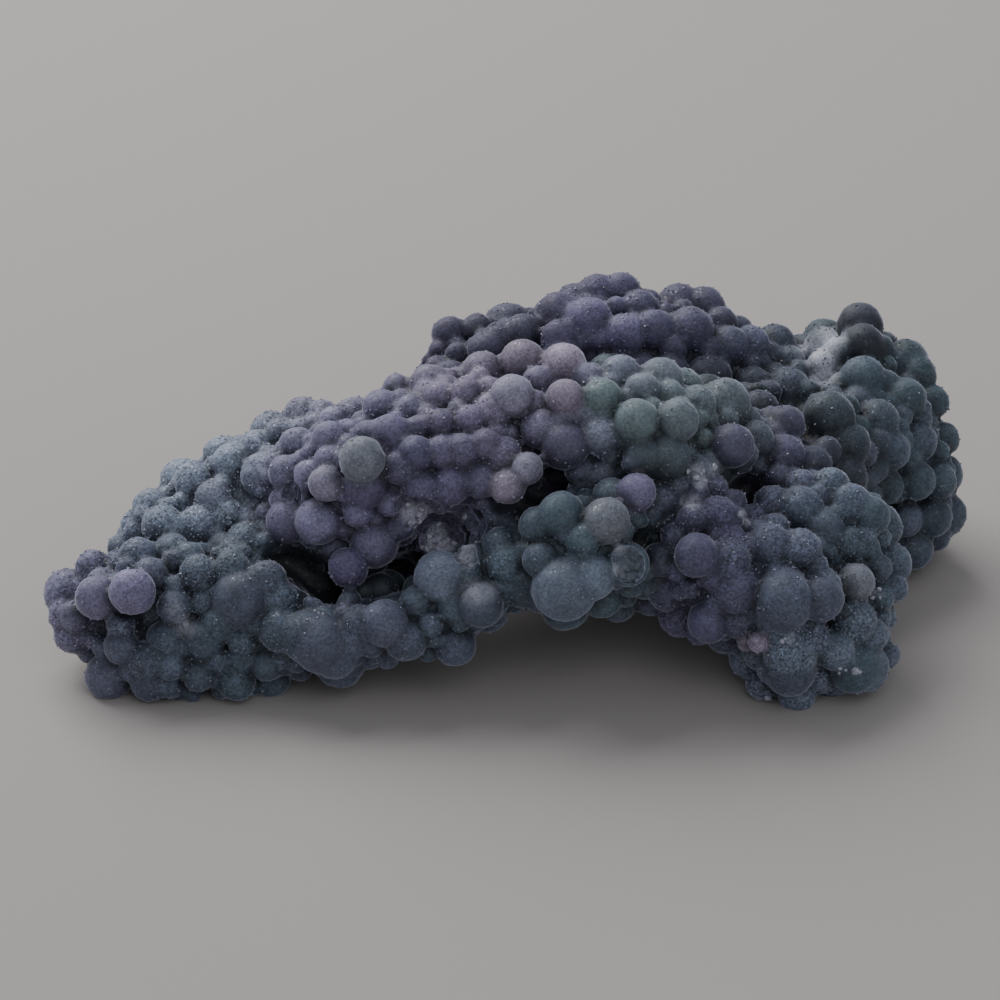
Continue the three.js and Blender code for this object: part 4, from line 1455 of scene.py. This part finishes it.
@dataclass
class AgateStone:
    """The stone itself: its grapes, its clefts and its broken spots.

    Attributes:
        layout: Where its limbs and grapes are.
        thinning: How much thinner the limbs are under the fine grapes than in the solid, in millimetres.
        limb_shade: How much darker the limbs are than the grapes on them: partly their own colour, partly
            painted shade between the grapes.
        melt: How far two grapes melt together where they meet, at least and at most, in millimetres.
        lumps: How uneven the skin is, in millimetres.
        waves: How close together its swells and its ripples are.
        ripple: How high the ripples are, as a share of the swells.
        cave_lumps: How much more uneven the skin is inside a cave.
        flat: Up to which height the skin counts as a flat that the stone rests on, in millimetres.
        mixing: How much of another colour a grape takes on at most.
        shades: How dark and how light a grape can be beside its own colour.
        sugars: The least and the most of the sugar round it that a grape keeps.
        shade_seed: Where the dice for those start.
        cell: The size of the net's cells, in millimetres.
        hollow_step: Distance between the balls of one hollow, as a share of their radius.
        cave_lead: How far in front of the skin a cave starts, in millimetres.
        cave_room: Closest that a small grape comes to a cave, as a share of their radii.
        cave_depth: How far inside a cave its skin is in full shade, in millimetres.
        cave_light: How light it is there, from 0 to 1.
        quartz_reach: How far in front of and behind the skin the quartz of a spot shows.
        spot_edge: How far a spot of quartz reaches, as a share of its radius.
        clearance: How far over the resting surface the first crystals grow.
        clefts: How far the looks into the clefts for their painted shade go, in millimetres, and how much
            each such look counts.
        back: How far behind the aim a bare spot still counts, in millimetres.
    """

    layout: StoneLayout = field(default_factory=StoneLayout)
    thinning: float = 0.4
    limb_shade: float = 0.75
    melt: tuple[float, float] = (0.035, 0.13)
    lumps: float = 0.07
    waves: tuple[float, float] = (0.9, 2.3)
    ripple: float = 0.45
    cave_lumps: float = 3.0
    flat: float = 0.02
    mixing: float = 0.25
    shades: tuple[float, float] = (0.85, 1.2)
    sugars: tuple[float, float] = (0.4, 1.1)
    shade_seed: int = 3
    cell: float = 0.325
    hollow_step: float = 0.7
    cave_lead: float = 1.0
    cave_room: float = 0.75
    cave_depth: float = 0.8
    cave_light: float = 0.16
    quartz_reach: float = 1.8
    spot_edge: float = 1.5
    clearance: float = 0.25
    clefts: tuple[tuple[float, float], ...] = ((0.4, 0.3), (1.2, 0.28), (2.6, 0.22), (5.0, 0.2))
    back: float = 8.0

    def grapes(self, body: Balls) -> tuple[Balls, Balls]:
        """Gives every grape of the stone, with its own shade.

        Args:
            body: The balls of the body.

        Returns:
            The front grapes, and the hidden and small ones.
        """
        plain, fine = self.layout.front(body)
        hidden = self.layout.spread(body, plain, self.layout.hidden)
        large = fine.joined(self.without_bare(hidden))
        fill = self.layout.spread(body, large, self.layout.fill)
        counts = [len(balls.radii) for balls in (body, plain, fine, hidden, fill)]
        LOG.info("body %d, front %d plain and %d fine, hidden %d, fill %d", *counts)
        grapes = large.joined(fill.picked(~self.hiding(fill, fine)))
        dice = Dice(self.shade_seed)
        others = [tone.linear() for tone in (Tone.LAVENDER, Tone.SLATE, Tone.TEAL, Tone.GRAPE)]
        for row in range(len(grapes.radii)):
            other = others[int(dice.roll(0, len(others)))]
            share = dice.roll(0, self.mixing)
            mixed = grapes.looks[row, :3] * (1 - share) + other * share
            grapes.looks[row, :3] = mixed * dice.roll(*self.shades)
            grapes.looks[row, 3] *= dice.roll(*self.sugars)
        front = np.arange(len(grapes.radii)) < len(fine.radii)
        return grapes.picked(front), grapes.picked(~front)

    def hiding(self, grapes: Balls, front: Balls) -> np.ndarray:
        """Finds the grapes that would hide a lone one from the eye.

        Args:
            grapes: The grapes.
            front: The front grapes, with the lone ones at their end.

        Returns:
            True for each that would.
        """
        eye = self.layout.sight.eye()
        hides = np.zeros(len(grapes.radii), dtype=bool)
        for grape, centre in zip(LONE_GRAPES, front.centres[-len(LONE_GRAPES) :]):
            along, miss = self.layout.sight.past(grapes.centres, grape.across, grape.up)
            hides |= (miss < grape.radius) & (along < np.linalg.norm(centre - eye))
        return hides

    def without_bare(self, grapes: Balls) -> Balls:
        """Leaves out the grapes that lie on the bare spots.

        Args:
            grapes: The grapes.

        Returns:
            Those that stay.
        """
        stay = np.ones(len(grapes.radii), dtype=bool)
        for spot in BARE_SPOTS:
            along, miss = self.layout.sight.past(grapes.centres, spot.across, spot.up)
            stay &= (miss > spot.radius) | (along > self.layout.sight.distance + self.back)
        return grapes.picked(stay)

    def hollows(self, balls: Balls, chips: tuple[Chip, ...], lead: float) -> Balls:
        """Gives the balls that are taken out of the skin.

        Args:
            balls: The balls that the skin goes round.
            chips: The hollows, as the eye sees them.
            lead: How far in front of the skin the row of balls of each hollow starts.

        Returns:
            The balls that leave those hollows.
        """
        hollows = Balls()
        for chip in chips:
            place, _ = self.layout.front_place(balls, chip.across, chip.up, 0.0)
            ray = self.layout.sight.ray(chip.across, chip.up)
            end = chip.bite - chip.radius
            for back in np.arange(0, max(0, end + lead) + 1e-6, self.hollow_step * chip.radius):
                hollows.add(place + ray * (end - back), chip.radius, np.zeros(4))
        return hollows

    def uneven(self, points: np.ndarray, normal: np.ndarray, roughness: np.ndarray) -> np.ndarray:
        """Makes the skin faintly lumpy, but leaves the flats that it rests on.

        Args:
            points: The skin's vertices.
            normal: Their normals.
            roughness: How rough it is at each, from 0 to 1.

        Returns:
            The new vertices.
        """
        swell, ripple = (
            np.array([noise.noise(Vector(point) * closeness) for point in points]) for closeness in self.waves
        )
        height = self.lumps * (swell + self.ripple * ripple) * (1 + self.cave_lumps * roughness)
        height[points[:, 2] < self.flat] = 0
        moved = points + normal * height[:, None]
        moved[:, 2] = np.maximum(moved[:, 2], 0)
        return moved

    def quartz(self, balls: Balls, points: np.ndarray) -> tuple[np.ndarray, np.ndarray]:
        """Marks where quartz shows on the skin, and the faint white that is painted highlight on the glint
        spots.

        Args:
            balls: The balls that the skin goes round.
            points: The places to mark.

        Returns:
            How white each place is and how thickly crystals grow there, from 0 to 1.
        """
        white, crystals = np.zeros(len(points)), np.zeros(len(points))
        for spot in QUARTZ_AND_GLINT_SPOTS:
            centre, _ = self.layout.front_place(balls, spot.across, spot.up, 0.0)
            away = points - centre
            deep = away @ self.layout.sight.ray(spot.across, spot.up)
            beside = np.sqrt(np.maximum(0, (away**2).sum(axis=1) - deep**2))
            near = np.clip(self.spot_edge - beside / spot.radius, 0, 1) * (np.abs(deep) < self.quartz_reach)
            white = np.maximum(white, spot.white * near)
            crystals = np.maximum(crystals, spot.crystals * near)
        return white, crystals

    def shadow(self, skin: GrapeSkin, points: np.ndarray, normal: np.ndarray) -> np.ndarray:
        """Measures how deep in the clefts between the grapes points on the skin are, for the shade painted
        there.

        Args:
            skin: The skin.
            points: The points.
            normal: The skin's normal at each.

        Returns:
            How closed in each is, from 0 to 1, which the material paints as shade.
        """
        cleft_shade = np.zeros(len(points))
        for height, share in self.clefts:
            gap, _ = skin.measure(points + normal * height, reach=height + 0.5)
            cleft_shade += share * np.clip(1 - gap / height, 0, 1)
        return cleft_shade

    def build(self) -> bpy.types.Object:
        """Nets the stone and paints its looks on its vertices.

        Returns:
            The stone's object.
        """
        body = self.layout.body()
        front, small = self.grapes(body)
        # Partly painted shade: the limbs between the grapes are darker than the grapes on them.
        shades = (self.limb_shade, self.limb_shade, self.limb_shade, 1.0)
        limbs = Balls(body.centres, body.radii - self.thinning, body.looks * shades)
        caves = self.hollows(limbs, CAVES, self.cave_lead)
        outside = [caves.clear(*ball, self.cave_room) for ball in zip(small.centres, small.radii)]
        core = limbs.joined(small.picked(np.array(outside)))
        balls = core.joined(front)
        skin = GrapeSkin(core, front, caves, self.hollows(balls, CHIPS, 0.0), self.melt)
        net = Net(skin, self.cell)
        LOG.info("stone: %d vertices, %d triangles", len(net.points), len(net.triangles))
        _, slope = skin.measure(net.points)
        normal = slope / np.linalg.norm(slope, axis=1)[:, None]
        whole, _ = GrapeSkin(core, front, caves, Balls(), self.melt).measure(net.points, reach=1.5)
        uncut, _ = GrapeSkin(core, front, Balls(), Balls(), self.melt).measure(net.points, reach=1.5)
        daylight = 1 - np.clip((whole - uncut) / self.cave_depth, 0, 1)
        # Painted shade: inside the caves the colour, and the sugar with it, is darkened down to cave_light.
        looks = skin.looks(net.points) * (self.cave_light + (1 - self.cave_light) * daylight)[:, None]
        lifted = np.clip(net.points[:, 2] / self.clearance - 1, 0, 1)
        white, crystals = self.quartz(balls, net.points)
        points = (self.uneven(net.points, normal, 1 - daylight) - STONE_MIDDLE) * METRES
        mesh = bpy.data.meshes.new("grape_agate_skin")
        mesh.from_pydata(points.tolist(), [], net.triangles.tolist())
        mesh.update()
        mesh.shade_smooth()
        # This colour carries the painted shade of the caves and, in part, that of the limbs.
        tint_and_painted_shade = np.hstack([looks[:, :3], np.ones((len(points), 1))])
        mesh.attributes.new("tint_and_painted_shade", "FLOAT_COLOR", "POINT").data.foreach_set("color", tint_and_painted_shade.ravel())
        marks = {
            "sugar": looks[:, 3] * lifted,
            "cleft_shade": self.shadow(skin, net.points, normal),
            "depth": np.clip(-whole, 0, 5),
            "white": white * daylight,
            "druse": crystals * daylight * lifted,
        }
        for name, values in marks.items():
            mesh.attributes.new(name, "FLOAT", "POINT").data.foreach_set("value", values)
        return new_object("grape_agate_skin", mesh)


@dataclass
class CrystalCoat:
    """Many small pointed crystals of quartz that grow on the stone's skin.

    Attributes:
        name: The piece's name.
        mask: The attribute of the stone that says where they grow.
        width: Radius of a crystal's prism, in metres.
        length: Length of the prism, in metres.
        sides: How many sides it has.
        point: Height of its tip, as a share of its width.
        density: Crystals for each square metre of skin where the mask is 1.
        least: How much of that there is where the mask is 0.
        sizes: The smallest and largest size of a crystal, as a share of its width and length.
        lean: How far a crystal leans from the skin's normal at most, in radians.
        seed: Where the scatter starts.
        MERGED: How near corners of a crystal are when they are one, in metres.
    """

    name: str
    mask: str
    width: float
    length: float
    sides: int
    point: float
    density: float
    least: float
    sizes: tuple[float, float]
    lean: float
    seed: int
    MERGED: ClassVar[float] = 1e-7

    def inputs(self) -> dict[str, float]:
        """Gives what the inputs of the node tree are set to.

        Returns:
            The value of each, by name.
        """
        return {
            "Width": self.width,
            "Length": self.length,
            "Density": self.density,
            "Least": self.least,
            "Smallest": self.sizes[0],
            "Largest": self.sizes[1],
            "Lean": self.lean,
            "Seed": self.seed,
        }

    def tree(self, material: bpy.types.Material) -> bpy.types.NodeTree:
        """Builds the node tree that grows the crystals.

        Args:
            material: What they are made of.

        Returns:
            The tree.
        """
        tree = bpy.data.node_groups.new(self.name, "GeometryNodeTree")
        tree.interface.new_socket("Geometry", in_out="INPUT", socket_type="NodeSocketGeometry")
        for title, value in self.inputs().items():
            kind = "NodeSocketInt" if isinstance(value, int) else "NodeSocketFloat"
            tree.interface.new_socket(title, in_out="INPUT", socket_type=kind)
        tree.interface.new_socket("Geometry", in_out="OUTPUT", socket_type="NodeSocketGeometry")
        helper = NodeTree(tree)
        start, end = helper.add("NodeGroupInput").outputs, helper.add("NodeGroupOutput")
        named = helper.add("GeometryNodeInputNamedAttribute", {"Name": self.mask}, data_type="FLOAT")
        room = helper.math("SUBTRACT", 1.0, start["Least"])
        share = helper.math("MULTIPLY_ADD", named.outputs["Attribute"], room, start["Least"])
        values = {
            "Mesh": start["Geometry"],
            "Density": helper.math("MULTIPLY", share, start["Density"]),
            "Seed": start["Seed"],
        }
        kind = "GeometryNodeDistributePointsOnFaces"
        scatter = helper.add(kind, values, distribute_method="RANDOM").outputs
        values = {0: scatter["Rotation"], 1: self.leaning(helper, start["Lean"])}
        turn = helper.add("FunctionNodeRotateRotation", values, rotation_space="LOCAL")
        values = {2: start["Smallest"], 3: start["Largest"]}
        size = helper.add("FunctionNodeRandomValue", values, data_type="FLOAT")
        values = {
            "Points": scatter["Points"],
            "Instance": self.crystal(helper, start["Width"], start["Length"]),
            "Rotation": turn.outputs[0],
            "Scale": size.outputs[1],
        }
        placed = helper.add("GeometryNodeInstanceOnPoints", values)
        real = helper.add("GeometryNodeRealizeInstances", {"Geometry": placed.outputs[0]})
        dressed = helper.add("GeometryNodeSetMaterial", {"Geometry": real.outputs[0], "Material": material})
        helper.fill(end, {0: dressed.outputs[0]})
        return tree

    def leaning(self, helper: NodeTree, lean: bpy.types.NodeSocket) -> bpy.types.NodeSocket:
        """Gives each crystal a lean and a turn of its own.

        Args:
            helper: The tree that it is made in.
            lean: How far a crystal leans at most.

        Returns:
            The rotation of each crystal.
        """
        back = helper.math("MULTIPLY", lean, -1.0)
        low = helper.add("ShaderNodeCombineXYZ", {"X": back, "Y": back, "Z": -math.pi}).outputs[0]
        high = helper.add("ShaderNodeCombineXYZ", {"X": lean, "Y": lean, "Z": math.pi}).outputs[0]
        return helper.add("FunctionNodeRandomValue", {0: low, 1: high}, data_type="FLOAT_VECTOR").outputs[0]

    def crystal(
        self, helper: NodeTree, width: bpy.types.NodeSocket, length: bpy.types.NodeSocket
    ) -> bpy.types.NodeSocket:
        """Makes one crystal with a point at both ends and half of it under the skin.

        Between the points it has a prism, if it has a length.

        Args:
            helper: The tree that it is made in.
            width: The radius of the prism.
            length: The length of the prism.

        Returns:
            The crystal's mesh.
        """
        tip = helper.math("MULTIPLY", width, self.point)
        half = helper.math("MULTIPLY", length, 0.5)
        under = helper.math("MULTIPLY", half, -1.0)
        rings = [(0.0, width, tip, half), (width, 0.0, tip, helper.math("SUBTRACT", under, tip))]
        if self.length:
            rings.append((width, width, length, under))
        joined = helper.add("GeometryNodeJoinGeometry")
        for top, bottom, depth, height in rings:
            values = {"Vertices": self.sides, "Radius Top": top, "Radius Bottom": bottom, "Depth": depth}
            ring = helper.add("GeometryNodeMeshCone", values, fill_type="NONE").outputs["Mesh"]
            lift = helper.add("ShaderNodeCombineXYZ", {"Z": height}).outputs[0]
            moved = helper.add("GeometryNodeTransform", {"Geometry": ring, "Translation": lift})
            helper.fill(joined, {0: moved.outputs["Geometry"]})
        values = {"Geometry": joined.outputs[0], "Distance": self.MERGED}
        return helper.add("GeometryNodeMergeByDistance", values).outputs["Geometry"]

    def build(self, stone: bpy.types.Object, material: bpy.types.Material) -> bpy.types.Object:
        """Grows the crystals on the stone.

        Args:
            stone: What they grow on.
            material: What they are made of.

        Returns:
            The crystals' object.
        """
        carrier = new_object(self.name + "_carrier", stone.data)
        modifier = carrier.modifiers.new("crystals", "NODES")
        modifier.node_group = self.tree(material)
        values = self.inputs()
        for item in modifier.node_group.interface.items_tree:
            if item.in_out == "INPUT" and item.name in values:
                modifier[item.identifier] = values[item.name]
        bpy.context.view_layer.update()
        ready = carrier.evaluated_get(bpy.context.evaluated_depsgraph_get())
        mesh = bpy.data.meshes.new_from_object(ready)
        mesh.name = self.name
        mesh.materials.clear()
        mesh.materials.append(material)
        mesh.polygons.foreach_set("material_index", np.zeros(len(mesh.polygons), dtype=np.int32))
        carrier.modifiers.clear()
        bpy.data.objects.remove(carrier)
        LOG.info("%s: %d faces", self.name, len(mesh.polygons))
        return new_object(self.name, mesh)


@dataclass
class Studio:
    """A pale floor, soft light and the camera.

    Attributes:
        sight: The line of sight that the camera looks along.
        lens: The camera's focal length, in millimetres.
        floor_size: Width of the floor, in metres.
        floor_colour: Its colour.
        sky_colour: The colour of the light from all round.
        sky_strength: How strong that light is.
    """

    sight: Sight = field(default_factory=Sight)
    lens: float = 162.0
    floor_size: float = 3.0
    floor_colour: tuple[float, ...] = (0.5, 0.465, 0.44, 1.0)
    sky_colour: tuple[float, ...] = (0.86, 0.9, 1.0, 1.0)
    sky_strength: float = 0.29

    def floor(self) -> bpy.types.Object:
        """Makes the floor.

        Returns:
            The floor's object.
        """
        half = self.floor_size / 2
        corners = [(-half, -half, 0), (half, -half, 0), (half, half, 0), (-half, half, 0)]
        mesh = bpy.data.meshes.new("floor")
        mesh.from_pydata(corners, [], [(0, 1, 2, 3)])
        material, _, _ = new_material("pale_floor", {"Base Color": self.floor_colour, "Roughness": 0.85})
        mesh.materials.append(material)
        return new_object("floor", mesh)

    def light(self, name: str, place: tuple[float, float, float], size: float, power: float) -> None:
        """Hangs a soft square light that looks at the stone.

        Args:
            name: Its name.
            place: Where it hangs, in metres.
            size: Its width, in metres.
            power: Its power, in watts.
        """
        data = bpy.data.lights.new(name, "AREA")
        data.size = size
        data.energy = power
        lamp = new_object(name, data)
        lamp.location = place
        lamp.rotation_euler = (Vector((0, 0, 0.01)) - Vector(place)).to_track_quat("-Z", "Y").to_euler()

    def build(self) -> bpy.types.Object:
        """Sets the floor, the lights, the surroundings and the camera.

        Returns:
            The floor's object.
        """
        self.light("window", (-0.16, 0.24, 0.32), 0.36, 1.65)
        self.light("front_fill", (0.12, -0.38, 0.34), 0.40, 0.4)
        world = bpy.data.worlds.new("studio")
        world.use_nodes = True
        sky = {"Color": self.sky_colour, "Strength": self.sky_strength}
        NodeTree(world.node_tree).fill(world.node_tree.nodes["Background"], sky)
        bpy.context.scene.world = world
        data = bpy.data.cameras.new("camera")
        data.lens = self.lens
        data.sensor_width = 36.0
        data.clip_start = 0.01
        data.clip_end = 10.0
        camera = new_object("camera", data)
        aim = (self.sight.place(0, 0, 0) - STONE_MIDDLE) * METRES
        eye = (self.sight.eye() - STONE_MIDDLE) * METRES
        camera.location = eye.tolist()
        camera.rotation_euler = Vector((aim - eye).tolist()).to_track_quat("-Z", "Y").to_euler()
        bpy.context.scene.camera = camera
        return self.floor()


def main() -> None:
    """Builds the stone, its crystals and the studio, in that order.
    """
    logging.basicConfig(level=logging.INFO, format="%(message)s", force=True)
    grain = sugar_grain_group()
    stone = AgateStone().build()
    stone.data.materials.append(ChalcedonyFinish().material(grain, broken_shell_group()))
    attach(stone, "root")
    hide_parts("grape_agate")
    LOG.info("stone dressed")
    coats = (
        (
            CrystalCoat(
                name="quartz_druse", mask="druse", width=0.00028, length=0.0001, sides=6, point=0.7,
                density=14e6, least=0.0, sizes=(0.4, 1.3), lean=1.0, seed=4,
            ),
            QuartzFinish("druse_quartz", 0.6),
        ),
        (
            CrystalCoat(
                name="sugar_grains", mask="sugar", width=0.000095, length=0.0, sides=4, point=1.2,
                density=6e6, least=0.08, sizes=(0.4, 1.3), lean=0.9, seed=9,
            ),
            QuartzFinish("sugar_quartz", 0.12),
        ),
    )
    for coat, finish in coats:
        crystals = coat.build(stone, finish.material(grain))
        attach(crystals, "root")
    Studio().build()
    LOG.info("size written")


if __name__ == "__main__":
    main()
